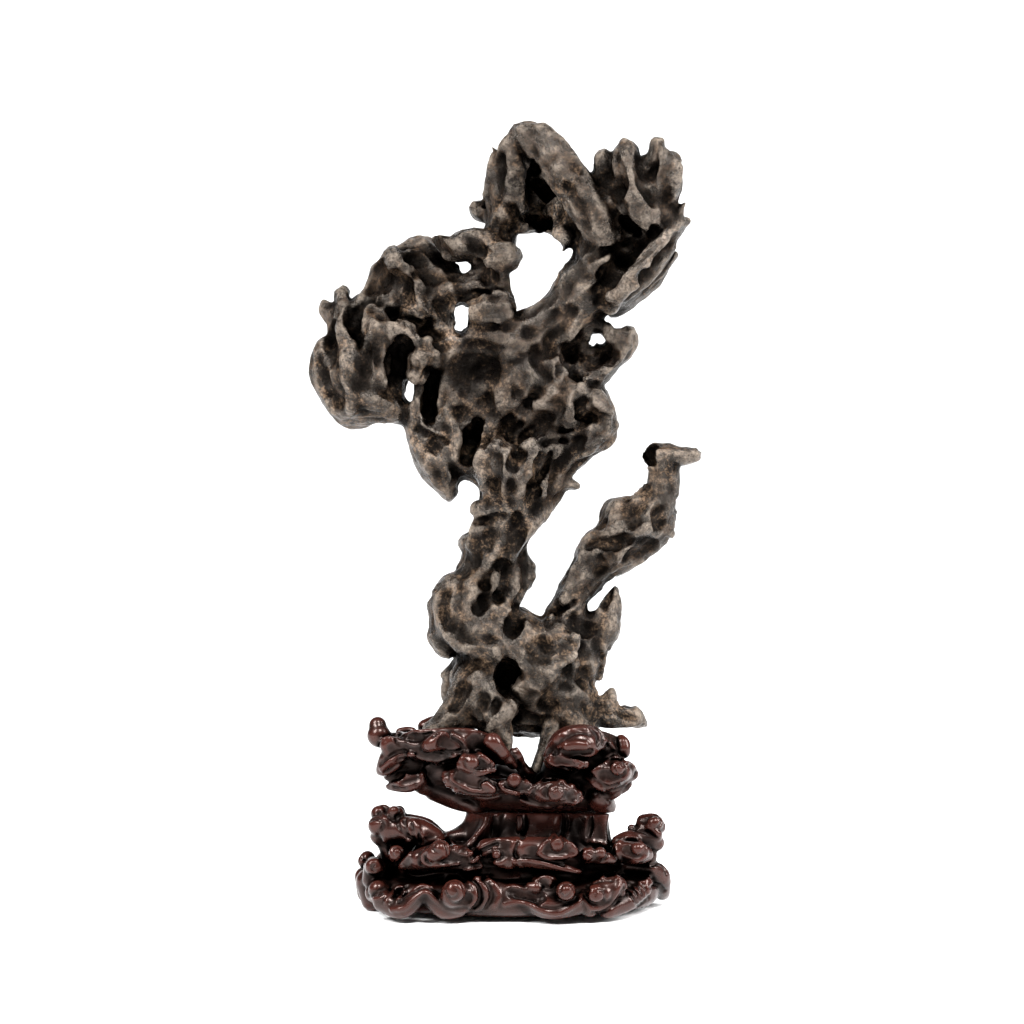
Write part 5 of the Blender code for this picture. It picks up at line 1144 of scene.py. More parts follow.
# Lines carved on the front: kind, lift towards the viewer, (x, v, radius) along the line.
topLines = [
    ("scoop", 1.6, [(-88, 120, 6), (-84, 115, 5)]),
    ("rim", 0.3, [(-99, 128, 1.2), (-91, 130.5, 1.4), (-83, 125, 1.5), (-76.5, 117.5, 1.5)]),
    ("rim", 0.3, [(-76, 117, 1.5), (-85, 116.5, 1.6), (-93, 112, 1.6), (-99, 106, 1.4)]),
    ("groove", 0.2, [(-80, 120, 1), (-87, 119, 1.1), (-94, 115, 1.1), (-100, 110, 1)]),
    ("groove", 0.2, [(-80, 112, 1), (-87, 109, 1.2), (-96, 103.5, 1)]),
    ("rim", 0.3, [(-95, 93, 1.2), (-88, 95.5, 1.4), (-80, 94.5, 1.4), (-72, 98, 1.5),
        (-67, 103.5, 1.3)]),
    ("groove", 0.2, [(-90, 92, 0.9), (-82, 91, 1), (-73, 94, 1)]),
    ("scoop", 1.2, [(-84, 98, 4), (-74, 101, 4)]),
    ("rim", 0.2, [(-86, 134, 1.3), (-70, 134.5, 1.6), (-50, 135.5, 1.7), (-32, 135, 1.7),
        (-20, 131.5, 1.5)]),
    ("groove", 0.2, [(-84, 131.5, 0.9), (-70, 131.5, 1.1), (-62, 133, 1)]),
    ("scoop", 2.4, [(-77, 129.5, 4.5), (-71, 128.5, 4)]),
    ("rim", 0.2, [(-82, 126.5, 1.2), (-74, 124.5, 1.4), (-66, 126, 1.4), (-60, 131, 1.2)]),
    ("bead", -0.9, [(-66, 123, 4.5), (-59, 126, 6), (-54, 128, 7)]),
    ("groove", 0.3, [(-60, 131, 0.9), (-56, 133.5, 1), (-51.5, 131, 1), (-53, 127, 0.9),
        (-57, 128, 0.8)]),
    ("rim", 0.2, [(-46, 133, 1), (-38, 127.5, 1.3), (-34.5, 121, 1.4), (-41, 117, 1.4),
        (-53, 117, 1.2)]),
    ("groove", 0.2, [(-49, 131, 0.9), (-41, 126.5, 1), (-38.5, 121.5, 1.1), (-44, 119.5, 1),
        (-54, 120, 0.9)]),
    ("scoop", 1.4, [(-46, 124, 6)]),
    ("scoop", 1.8, [(-28, 128, 6), (-26, 121, 5)]),
    ("bead", -0.7, [(-15.5, 127, 6.6), (-11, 122, 5.4), (-5, 115, 4.4), (0, 109, 3.4)]),
    ("rim", 0.3, [(2, 123, 1.2), (6, 116, 1.4), (8, 110, 1.2)]),
    ("groove", 0.2, [(-2, 121, 0.9), (2, 115, 1.1), (5, 108, 0.9)]),
    ("swell", 2, [(-60, 108, 7), (-52, 106, 6)]),
    ("rim", 0.2, [(-75, 117, 1.2), (-65, 113.5, 1.4), (-55, 113, 1.4), (-43, 116.5, 1.2)]),
    ("groove", 0.2, [(-75, 114.5, 0.9), (-66, 111, 1.1), (-56, 110.5, 1.1), (-46, 113, 0.9)]),
    ("rim", 0.2, [(-68, 104, 1), (-62, 110, 1.3), (-52, 111, 1.3)]),
    ("swell", 2, [(-33, 109.5, 6), (-24, 109.5, 6)]),
    ("scoop", 2.6, [(-33, 110.5, 6), (-23, 109.5, 5)]),
    ("rim", 0.3, [(-41, 110, 1.4), (-36, 117, 1.5), (-27, 118, 1.5), (-18, 112, 1.5),
        (-14, 107, 1.4), (-21, 103.5, 1.5), (-33, 101.5, 1.6), (-39.5, 104.5, 1.5),
        (-41, 110, 1.4)]),
    ("bead", -0.8, [(-31, 111, 5.4)]),
    ("groove", 0.3, [(-27, 107, 0.8), (-21, 107.5, 1), (-17, 109, 0.8)]),
    ("swell", 2, [(-43, 98, 6), (-32, 94.5, 6.5), (-18, 92, 5)]),
    ("scoop", 2.2, [(-43, 99, 5.5), (-34, 95, 6), (-24, 94, 5)]),
    ("rim", 0.4, [(-51.5, 103, 1.4), (-51, 96, 1.5), (-43, 90, 1.6), (-33, 85.5, 1.6),
        (-20, 84, 1.6), (-11, 85.5, 1.4)]),
    ("groove", 0.3, [(-49, 103, 0.9), (-48, 97, 1), (-41, 92.2, 1.1), (-32, 88, 1.1),
        (-20, 86.6, 1), (-12, 88, 0.9)]),
    ("rim", 0.3, [(-46, 102, 1), (-45, 97.5, 1.2), (-39, 94, 1.2), (-31, 90.3, 1.2),
        (-20, 89.2, 1.1)]),
    ("bead", -0.5, [(-21, 94, 3.6), (-16, 90.5, 3.2)]),
    ("groove", 0.3, [(-25, 96, 0.8), (-19, 98, 1), (-12, 93, 0.8)]),
    ("scoop", 1.6, [(-3, 94, 5.5), (8, 93, 5)]),
    ("rim", 0.3, [(-10, 95, 1.3), (-6, 90.5, 1.5), (6, 87.5, 1.6), (15.5, 90, 1.4),
        (12, 95, 1.2), (5, 100, 1.1)]),
    ("groove", 0.3, [(-5, 93, 0.8), (4, 90.5, 1), (12, 92, 0.8)]),
    ("bead", -0.8, [(0.8, 97.3, 5.2)]),
    ("swell", 2, [(22, 88, 5), (34, 88, 6.5), (43, 86, 5)]),
    ("scoop", 2, [(24, 89, 5), (38, 87, 6), (44, 85, 4)]),
    ("rim", 0.4, [(14, 91, 1.3), (23, 96, 1.5), (37, 96.5, 1.5), (50, 89, 1.6), (50.5, 83, 1.6),
        (39, 78.5, 1.6), (24, 78, 1.5), (13, 80, 1.4), (6, 83, 1.2)]),
    ("groove", 0.3, [(26, 93.5, 0.9), (38, 93.6, 1), (46.5, 88, 1), (46.5, 84, 1), (38, 81, 1),
        (24, 80.6, 0.9)]),
    ("bead", -0.9, [(32.3, 88, 6)]),
    ("groove", 0.5, [(36.5, 90, 0.8), (33, 92.5, 1), (28.8, 89.5, 1), (30.2, 85.2, 0.9),
        (34, 86, 0.8), (33.4, 88.6, 0.7)]),
    ("swell", 2, [(38, 124, 7), (50, 126, 8), (58, 122, 6)]),
    ("rim", 0.3, [(24, 117, 1.2), (29, 126, 1.4), (38, 133.5, 1.5), (50, 137, 1.5),
        (60, 135.5, 1.4)]),
    ("groove", 0.2, [(27, 116, 0.9), (32, 124, 1.1), (41, 130.5, 1.2), (50, 133.5, 1.1),
        (58, 132, 1)]),
    ("groove", 0.2, [(62, 138, 0.9), (67, 133, 1), (67.5, 126, 1)]),
    ("groove", 0.2, [(58, 137.5, 0.9), (63, 132, 1), (63.5, 125, 1)]),
    ("groove", 0.2, [(70, 136, 0.9), (72, 130, 1), (71, 124, 1)]),
    ("bead", -0.6, [(41, 123.5, 4), (47.5, 124.4, 4.3), (54, 124, 3.8)]),
    ("groove", 0.2, [(36, 118.5, 0.9), (46, 118.4, 1.2), (58, 119.5, 1)]),
    ("rim", 0.6, [(25.5, 114, 1.4), (33, 117.5, 1.7), (43, 113.8, 1.7), (52, 110, 1.4),
        (44, 106, 1.6), (31, 109.5, 1.6), (25.5, 114, 1.4)]),
    ("scoop", 1.2, [(34, 112.4, 3.4), (42, 110.4, 3)]),
    ("scoop", 2.5, [(62, 114, 6)]),
    ("bead", -0.8, [(83.5, 119, 5), (83, 124.5, 5.6), (81.5, 128, 4.4)]),
    ("rim", 0.3, [(70, 128, 1), (76, 122, 1.3), (77, 114, 1.3)]),
    ("swell", 2, [(66, 101, 6), (76, 103, 7), (85, 104, 5)]),
    ("scoop", 2.2, [(68, 101, 6), (77, 100, 6), (84, 103, 4)]),
    ("rim", 0.4, [(55, 101, 1.4), (65, 108, 1.5), (74, 114, 1.5), (82, 113.5, 1.4),
        (91, 108, 1.4), (93, 101, 1.4), (87, 97, 1.4), (80, 91.5, 1.5), (72, 89.5, 1.5),
        (62, 93.5, 1.5), (55, 101, 1.4)]),
    ("groove", 0.3, [(59, 101, 0.9), (64, 97, 1), (72, 92.6, 1), (79, 94.5, 0.9)]),
    ("bead", -0.8, [(79, 106.5, 5.2)]),
    ("groove", 0.4, [(83, 109, 0.8), (79.5, 111, 0.9), (75.5, 108, 0.9), (77, 104.5, 0.8)]),
    ("bead", -0.5, [(87, 94.5, 3)]),
    ("rim", 0.2, [(66, 88, 1), (74, 84, 1.3), (80, 87, 1.1)]),
    ("scoop", 2.4, [(32, 119, 3), (44, 118, 3.6), (58, 119, 3)]),
]

baseLines = [
    ("groove", 0.3, [(-104, 78, 0.8), (-99, 79, 1), (-95.5, 75, 1), (-98, 71, 0.8),
        (-101, 72.5, 0.7)]),
    ("groove", 0.3, [(-108, 67, 0.8), (-103, 68.5, 1), (-98, 65, 1), (-99.5, 60, 0.8)]),
    ("bead", -0.6, [(-90, 74, 4.2)]),
    ("groove", 0.2, [(-94, 70, 0.9), (-89, 67, 1.1), (-84, 70, 0.9)]),
    ("groove", 0.2, [(-88, 70, 0.9), (-85, 60, 1.3), (-76, 52, 1)]),
    ("groove", 0.2, [(-82, 67.4, 0.9), (-80, 57, 1.3), (-72, 49.4, 1)]),
    ("groove", 0.2, [(-76, 64.8, 0.9), (-75, 54, 1.3), (-68, 46.8, 1)]),
    ("groove", 0.2, [(-70, 62.2, 0.9), (-70, 51, 1.3), (-64, 44.2, 1)]),
    ("rim", 0.2, [(-76, 68, 1.1), (-70, 60, 1.4), (-66, 52, 1.2)]),
    ("rim", 0.2, [(-97, 52, 1), (-92, 48, 1.2), (-84, 48, 1.2), (-78, 52, 1)]),
    ("swell", 2, [(-70, 37, 6), (-60, 39, 7), (-46, 38, 7), (-34, 36, 5)]),
    ("scoop", 2.2, [(-68, 37, 6), (-57, 38, 7), (-44, 37, 7), (-35, 35, 4)]),
    ("rim", 0.4, [(-85, 33, 1.3), (-74.5, 44, 1.5), (-63, 49.5, 1.5), (-47, 50.5, 1.5),
        (-34, 43.5, 1.5), (-24, 32.5, 1.4), (-36, 29.5, 1.6), (-58, 27, 1.6), (-74, 25, 1.5),
        (-85, 33, 1.3)]),
    ("groove", 0.3, [(-66, 46.5, 0.9), (-71, 40, 1), (-69.5, 33.5, 1.1), (-60, 30.6, 1.1),
        (-44, 31.6, 1), (-28, 33, 0.9)]),
    ("rim", 0.3, [(-62, 46, 1), (-67, 40, 1.2), (-65.5, 35, 1.2), (-56, 33.2, 1.2),
        (-42, 34.4, 1.1)]),
    ("bead", -1.1, [(-59, 41, 6.6), (-55, 44.6, 7.6)]),
    ("groove", 0.5, [(-49, 42, 0.9), (-51.5, 50, 1.1), (-58, 50.6, 1.1), (-60.5, 45, 1),
        (-56, 42.6, 0.9)]),
    ("bead", -0.9, [(-88, 42, 6)]),
    ("groove", 0.4, [(-83.5, 44, 0.8), (-87, 47, 0.9), (-91.5, 44, 0.9), (-90, 39.5, 0.8)]),
    ("rim", 0.2, [(-33, 41, 1), (-24, 47, 1.3), (-12, 52, 1.3), (0, 51, 1.1)]),
    ("rim", 0.2, [(-30, 36, 1), (-22, 42, 1.3), (-14, 45, 1.2)]),
    ("groove", 0.2, [(-31, 38.6, 0.9), (-22, 44.6, 1.1), (-12, 49, 1)]),
    ("rim", 0.3, [(-14, 46, 1.1), (-7, 44, 1.3), (-5, 38, 1.3), (-10, 34, 1.2), (-16, 36, 1)]),
    ("bead", -0.5, [(-12.5, 41, 3.2)]),
    ("rim", 0.3, [(1, 50, 1), (-1.5, 43, 1.2), (0.5, 36, 1.3), (6, 33, 1.2)]),
    ("groove", 0.2, [(4, 50, 0.9), (2, 43, 1.1), (4, 37.5, 1)]),
    ("swell", 2, [(10, 44, 6), (22, 43, 6), (36, 43, 6)]),
    ("scoop", 1.8, [(12, 43, 6)]),
    ("rim", 0.4, [(1, 35.6, 1.3), (8, 36.6, 1.5), (16, 36, 1.5), (26, 33.6, 1.6),
        (38, 29.6, 1.6), (51, 27.4, 1.3)]),
    ("groove", 0.3, [(8, 39.4, 0.9), (17, 38.8, 1), (27, 36.6, 1), (38, 33, 0.9)]),
    ("rim", 0.4, [(19.5, 42.5, 1.3), (26, 51, 1.4), (37, 54.5, 1.4), (48, 43, 1.4),
        (38, 39.5, 1.5), (26, 39, 1.5), (19.5, 42.5, 1.3)]),
    ("scoop", 1.4, [(28, 45, 4), (40, 45, 4)]),
    ("bead", -0.8, [(33.2, 48.2, 5)]),
    ("bead", -0.9, [(57, 40.5, 6.4)]),
    ("groove", 0.4, [(64, 44, 0.9), (58, 47.6, 1.1), (51.5, 43.5, 1.1), (52, 37, 1),
        (58, 35.4, 1), (61, 39.6, 0.9), (57.4, 42.4, 0.8)]),
    ("bead", -0.7, [(66, 42, 4.6)]),
    ("groove", 0.3, [(70, 46, 0.9), (71, 40, 1.1), (67, 35.6, 0.9)]),
    ("rim", 0.2, [(56, 50, 1), (66, 50, 1.2), (74, 46, 1.1)]),
    ("swell", 2, [(84, 44, 5), (94, 42, 6)]),
    ("scoop", 2.2, [(86, 45, 5), (94, 41.5, 5)]),
    ("rim", 0.4, [(78, 48, 1.3), (86, 54, 1.4), (95, 52, 1.3), (101.5, 41.5, 1.4),
        (91, 35.5, 1.5), (81, 37, 1.5), (78, 48, 1.3)]),
    ("bead", -0.7, [(94, 45.2, 4.8)]),
    ("bead", -0.9, [(107, 64.5, 6.4)]),
    ("groove", 0.3, [(101, 68, 0.9), (107, 71.6, 1.1), (112.5, 67, 1), (109, 61.4, 0.9)]),
    ("groove", 0.3, [(92, 60, 0.9), (100, 58, 1.2), (109, 53, 1)]),
    ("rim", 0.3, [(94, 64.5, 1.2), (102, 62, 1.4), (111, 56.5, 1.3)]),
    ("bead", -0.5, [(89.7, 63.5, 3)]),
    ("groove", 0.4, [(-105, 41, 0.8), (-110, 43.6, 1), (-114, 39.6, 1), (-111, 36, 0.8)]),
    ("bead", -1.1, [(-105, 31.5, 7)]),
    ("scoop", 2, [(-104.5, 31, 4.4)]),
    ("bead", -0.3, [(-103.5, 31, 2.4)]),
    ("groove", 0.3, [(-97, 30, 0.9), (-101, 24.6, 1.1), (-108, 25.6, 0.9)]),
    ("bead", -1.1, [(-102, 14, 7.4)]),
    ("rim", 0.4, [(-94, 17, 1.2), (-98, 8.6, 1.4), (-107, 7.4, 1.3)]),
    ("rim", 0.3, [(-96, 5, 1.1), (-90, 14, 1.3), (-84, 16, 1.3), (-82, 10, 1.2), (-87, 6.6, 1)]),
    ("groove", 0.2, [(-92, 4, 0.9), (-86, 12.4, 1.1), (-80, 17, 1)]),
    ("rim", 0.4, [(-92, -1, 1.4), (-82, 0.6, 1.7), (-74, 8, 1.9), (-66, 12, 1.9), (-58, 6, 1.8),
        (-50, 0.4, 1.7), (-40, -1.4, 1.6), (-28, -0.4, 1.4)]),
    ("groove", 0.3, [(-86, 5, 0.9), (-76, 12, 1.2), (-66, 16, 1.2), (-57, 11, 1.1)]),
    ("swell", 2, [(-46, 9, 7), (-34, 9, 7)]),
    ("scoop", 2, [(-38, 9, 8), (-32, 6, 6)]),
    ("bead", -2.6, [(-44.5, 13, 8.6)]),
    ("groove", 0.6, [(-36.5, 14, 0.9), (-39.6, 19.6, 1.1), (-46.5, 21, 1.1), (-51.6, 16, 1.1),
        (-50, 9.6, 1), (-44.6, 8.2, 1), (-41.4, 12, 0.9), (-44, 15.4, 0.8)]),
    ("rim", 0.3, [(-36, 21, 1), (-30, 16, 1.3), (-28.6, 8, 1.4), (-33, 1.4, 1.3)]),
    ("groove", 0.2, [(-33, 22, 0.9), (-26.5, 17, 1.1), (-25.4, 8, 1.1), (-29.6, 0.8, 1)]),
    ("rim", 0.3, [(-28, 22, 1), (-21.6, 16, 1.3), (-20.4, 8, 1.3), (-24.6, 0.4, 1.1)]),
    ("groove", 0.2, [(-24, 22.6, 0.9), (-17.6, 16, 1.1), (-16.4, 8, 1.1), (-20, 1, 1)]),
    ("rim", 0.3, [(-19, 22.6, 1), (-12.6, 16.6, 1.2), (-10.6, 9, 1.2), (-13, 2, 1)]),
    ("rim", 0.3, [(-60, 19, 1.1), (-48, 23.6, 1.3), (-34, 22.6, 1.3), (-20, 23, 1.3),
        (-8, 22.6, 1.2), (4, 23.4, 1.2)]),
    ("scoop", 2.4, [(0, 14, 5), (10, 12, 6), (20, 10, 5)]),
    ("bead", -0.7, [(17.5, 15.4, 5.2), (13.5, 16, 4)]),
    ("rim", 0.3, [(18, 21, 1.1), (24, 24, 1.3), (29, 22, 1.3), (28, 17.6, 1.1)]),
    ("bead", -1, [(40.2, 13, 6.8)]),
    ("groove", 0.6, [(46, 15, 0.8), (42.6, 18.4, 1), (37, 17.4, 1), (35.6, 12, 1),
        (39.4, 9, 0.9), (43, 11.6, 0.8)]),
    ("rim", 0.4, [(-6, 3, 1.2), (4, 4.6, 1.5), (14, 2, 1.7), (24, -2.6, 1.8), (34, -4, 1.8),
        (42, -0.6, 1.7), (50, 4.6, 1.5), (53, 12, 1.2)]),
    ("groove", 0.3, [(2, 8, 0.9), (12, 6, 1.1), (22, 2, 1.2), (32, 0.8, 1.1), (40, 4, 1)]),
    ("bead", -1.1, [(62.6, 11, 7)]),
    ("groove", 0.6, [(74, 21, 0.9), (66, 20.6, 1.2), (57.6, 15.6, 1.2), (56, 8, 1.2),
        (61.6, 3.6, 1.2), (69.4, 7, 1.1), (69, 13, 1), (63.6, 13.4, 0.9), (62.6, 10, 0.8)]),
    ("rim", 0.4, [(54, 6, 1.2), (60, 0, 1.4), (70, 2, 1.5), (77, 10, 1.5), (81, 20, 1.4),
        (76, 25, 1.2), (68, 23, 1.1)]),
    ("groove", 0.3, [(60, -3.4, 0.9), (71, -1.6, 1.1), (80, 7, 1.1), (85, 17, 1)]),
    ("groove", 0.2, [(84, 15, 0.9), (91, 8, 1.2), (95, 1, 0.9)]),
    ("groove", 0.2, [(88.4, 17, 0.9), (94, 10.4, 1.2), (97.6, 3.2, 0.9)]),
    ("groove", 0.2, [(92.8, 19, 0.9), (97, 12.8, 1.2), (100.2, 5.4, 0.9)]),
    ("groove", 0.2, [(97.2, 21, 0.9), (100, 15.2, 1.2), (102.8, 7.6, 0.9)]),
    ("rim", 0.3, [(84, 22, 1.1), (94, 20, 1.3), (103, 24, 1.2)]),
    ("groove", 0.3, [(105, 33, 0.9), (112, 34, 1.1), (116, 27, 1)]),
    ("groove", 0.3, [(104, 16, 0.9), (110, 18, 1.1), (115, 13, 1)]),
    *[("groove", 0.4, [(x, 73, 1.4), (x + 0.6, 64, 2.4), (x - 0.8, 56, 1.8)])
        for x in (-14, 8, 39, 58)],
    ("rim", 0.3, [(44, 74, 1.6), (46, 66, 1.9), (49, 56, 1.7)]),
    ("rim", 0.3, [(-19, 74, 1.4), (-21, 64, 1.7), (-27, 56, 1.5)]),
]


# the same shape at the back, turned half a turn about the upright
def turnedRound(points):
    out = []
    for x, v, y, r in points:
        x, v, y = seenAt(x, v, y)
        z = (v - y * sinTilt) / cosTilt
        out.append((-x, z * cosTilt - y * sinTilt, -y, r))
    return out


def ringPoints():
    out = []
    for i in range(baseSettings["ringPoints"] + 1):
        a = 2 * math.pi * i / baseSettings["ringPoints"]
        x, y = baseSettings["ringRadiusX"] * math.cos(a), baseSettings["ringRadiusY"] * math.sin(a)
        v = baseSettings["ringHeight"] * cosTilt + y * sinTilt
        out.append((x, v, y, baseSettings["ringThickness"]))
    return out


def heightAbove(clay):
    v = clay.axes[1][None, :, None]
    y = clay.axes[2][None, None, :]
    return (v - y * np.float32(sinTilt)) / np.float32(cosTilt)


def shapeTop(stonePoints, stoneQuads):
    clay = Clay(*topSettings["block"], standSettings["voxel"])
    layShapes(clay, topShapes)
    workFront(clay, topLines)
    low = standSettings["seam"] + standSettings["seamGap"]
    clay.body = np.maximum(clay.body, low - heightAbove(clay))
    clay.keepOff(stonePoints, stoneQuads, topSettings["socketGap"])
    return clay, *clay.surface()


def shapeBase():
    clay = Clay(*baseSettings["block"], standSettings["voxel"])
    clay.shape("limb", ringPoints())
    layShapes(clay, baseShapes)
    back = []
    for kind, points, *more in baseShapes:
        if max(p[2] for p in points) <= baseSettings["repeatedFrom"]:
            back.append((kind, turnedRound(points), *more))
    layShapes(clay, back, None)
    workFront(clay, baseLines)
    height = heightAbove(clay)
    clay.body = np.maximum(clay.body, -height)
    left, right = baseSettings["waist"]
    inside = (clay.axes[0] > left) & (clay.axes[0] < right)
    top = height - (standSettings["seam"] - standSettings["seamGap"])
    clay.body[inside] = np.maximum(clay.body[inside], top)
    return clay, *clay.surface()


def newMaterial(name):
    material = bpy.data.materials.new(name)
    material.use_nodes = True
    tree = material.node_tree
    return material, tree, tree.nodes["Principled BSDF"]


def noise(tree, place, size, detail=3.0, rough=0.55, warp=0.0):
    node = addNode(tree, "ShaderNodeTexNoise", noise_dimensions="3D")
    feed(tree, node, "Vector", place)
    feed(tree, node, "Scale", 1 / size)
    feed(tree, node, "Detail", detail)
    feed(tree, node, "Roughness", rough)
    feed(tree, node, "Distortion", warp)
    return node.outputs["Fac"]


def ramp(tree, value, stops):
    node = addNode(tree, "ShaderNodeValToRGB")
    marks = node.color_ramp.elements
    while len(marks) < len(stops):
        marks.new(0.5)
    for mark, (at, colour) in zip(marks, stops):
        mark.position = at
        mark.color = (*colour, 1)
    feed(tree, node, "Fac", value)
    return node.outputs["Color"]


def step(tree, value, low, high, start=0.0, end=1.0):
    node = addNode(tree, "ShaderNodeMapRange", interpolation_type="SMOOTHSTEP")
    feed(tree, node, "Value", value)
    feed(tree, node, "From Min", low)
    feed(tree, node, "From Max", high)
    feed(tree, node, "To Min", start)
    feed(tree, node, "To Max", end)
    return node.outputs["Result"]


def mix(tree, factor, a, b, how="MIX"):
    node = addNode(tree, "ShaderNodeMix", data_type="RGBA", blend_type=how)
    sockets = [s for s in node.inputs if s.enabled]
    for socket, value in zip(sockets, (factor, a, b)):
        if isinstance(value, bpy.types.NodeSocket):
            tree.links.new(value, socket)
        elif isinstance(value, tuple):
            socket.default_value = (*value, 1)
        else:
            socket.default_value = value
    return [s for s in node.outputs if s.enabled][0]


def ownValue(tree, name):
    return addNode(tree, "ShaderNodeAttribute", attribute_name=name).outputs["Fac"]


# the sum of (value, share) pairs
def blendOf(tree, *pairs):
    total = None
    for value, share in pairs:
        part = calc(tree, "MULTIPLY", value, share)
        total = part if total is None else calc(tree, "ADD", total, part)
    return total


def darkened(tree, colour, level):
    grey = addNode(tree, "ShaderNodeCombineColor")
    for name in ("Red", "Green", "Blue"):
        feed(tree, grey, name, level)
    return mix(tree, 1.0, colour, grey.outputs[0], "MULTIPLY")


def bump(tree, height, strength, distance, before=None):
    node = addNode(tree, "ShaderNodeBump")
    feed(tree, node, "Height", height)
    feed(tree, node, "Strength", strength)
    feed(tree, node, "Distance", distance)
    if before is not None:
        link(tree, before, node.inputs["Normal"])
    return node.outputs["Normal"]


stoneFinish = {
    "black": (0.0030, 0.0021, 0.0016),
    "dark": (0.0076, 0.0053, 0.0039),
    "brown": (0.0300, 0.0188, 0.0120),
    "tan": (0.150, 0.097, 0.060),
    # colour of the painted highlight on ridges and crests
    "paintedSheenColour": (0.165, 0.139, 0.114),
    "rough": (0.20, 0.38),
    "shine": (0.09, 0.34),
    "shineTint": (1.0, 0.88, 0.77, 1),
}


def stoneMaterial():
    material, tree, skin = newMaterial("darkScholarStone")
    place = addNode(tree, "ShaderNodeTexCoord").outputs["Object"]
    relief, openness = ownValue(tree, "relief"), ownValue(tree, "open")
    broad = noise(tree, place, 0.060, 2.0, 0.5, 0.8)
    patches = noise(tree, place, 0.018, 4.0, 0.62, 0.6)
    flecks = noise(tree, place, 0.0042, 5.0, 0.78, 0.4)
    specks = noise(tree, place, 0.0019, 3.0, 0.75)
    fine = noise(tree, place, 0.0007, 2.0, 0.6)
    raised = calc(tree, "SUBTRACT", relief, 0.5)
    mottled = blendOf(tree, (patches, 0.35), (flecks, 0.30), (specks, 0.35), (raised, 0.10))
    colour = ramp(
        tree,
        mottled,
        [(0.44, stoneFinish["black"]), (0.50, stoneFinish["dark"]), (0.57, stoneFinish["brown"])],
    )
    # tan crust lies in broken patches with crisp specks
    where = blendOf(tree, (flecks, 0.40), (patches, 0.30), (broad, 0.30))
    broken = step(tree, specks, 0.44, 0.58, 0.0, 0.7)
    crust = calc(tree, "MULTIPLY", step(tree, where, 0.515, 0.58), broken)
    colour = mix(tree, crust, colour, stoneFinish["tan"])
    # painted highlight: ridges take a silver sheen in their colour, in streaks and specks
    paintedRidgeSheen = step(tree, calc(tree, "ADD", relief, patches), 1.20, 1.50)
    paintedRidgeSheen = calc(tree, "MULTIPLY", paintedRidgeSheen, step(tree, specks, 0.45, 0.54, 0.0, 0.42))
    colour = mix(tree, paintedRidgeSheen, colour, stoneFinish["paintedSheenColour"])
    crease = ownValue(tree, "crease")
    # painted highlight again: silver on the fine crests
    paintedCrestSheen = step(tree, crease, 0.58, 0.9, 0.0, 0.4)
    paintedCrestSheen = calc(tree, "MULTIPLY", paintedCrestSheen, step(tree, flecks, 0.42, 0.6))
    colour = mix(tree, paintedCrestSheen, colour, stoneFinish["paintedSheenColour"])
    # painted shade: creases, hollows and the deep of holes are darkened
    hollow = step(tree, crease, 0.15, 0.5, 0.55, 1.0)
    hollow = calc(tree, "MULTIPLY", hollow, step(tree, relief, 0.10, 0.5, 0.6, 1.0))
    hollow = calc(tree, "MULTIPLY", hollow, step(tree, openness, 0.12, 0.85, 0.05, 1.0))
    colour = darkened(tree, colour, hollow)
    # the spots of painted shade and painted highlight darken or lighten the colour, and scale the
    # specular level
    shadeNode = addNode(tree, "ShaderNodeAttribute", attribute_name="paintedShadeAndLight")
    paintedShadeAndLight, paintedSpotLevel = shadeNode.outputs["Color"], shadeNode.outputs["Fac"]
    colour = mix(tree, 1.0, colour, paintedShadeAndLight, "MULTIPLY")
    link(tree, colour, skin.inputs["Base Color"])
    rough = step(tree, patches, 0.40, 0.60, *stoneFinish["rough"])
    link(tree, rough, skin.inputs["Roughness"])
    normal = bump(tree, flecks, 0.8, 0.0013)
    normal = bump(tree, specks, 0.9, 0.0007, normal)
    normal = bump(tree, fine, 0.9, 0.0003, normal)
    link(tree, normal, skin.inputs["Normal"])
    # the painted shade also lowers the specular level in hollows
    shine = calc(tree, "MULTIPLY", hollow, step(tree, relief, 0.42, 0.66, *stoneFinish["shine"]))
    shine = calc(tree, "MULTIPLY", shine, paintedSpotLevel)
    link(tree, shine, skin.inputs["Specular IOR Level"])
    skin.inputs["Specular Tint"].default_value = stoneFinish["shineTint"]
    return material


woodFinish = {
    # deep is painted shade for recesses; red on raised carving is rubbed wood, partly painted
    # highlight
    "deep": (0.0014, 0.0007, 0.0006),
    "body": (0.0046, 0.0018, 0.0014),
    "red": (0.026, 0.0064, 0.0043),
    "film": (0.021, 0.0118, 0.0096),
    "rough": (0.32, 0.22),
    "shine": (0.10, 0.30),
    "shineTint": (1.0, 0.80, 0.74, 1),
}


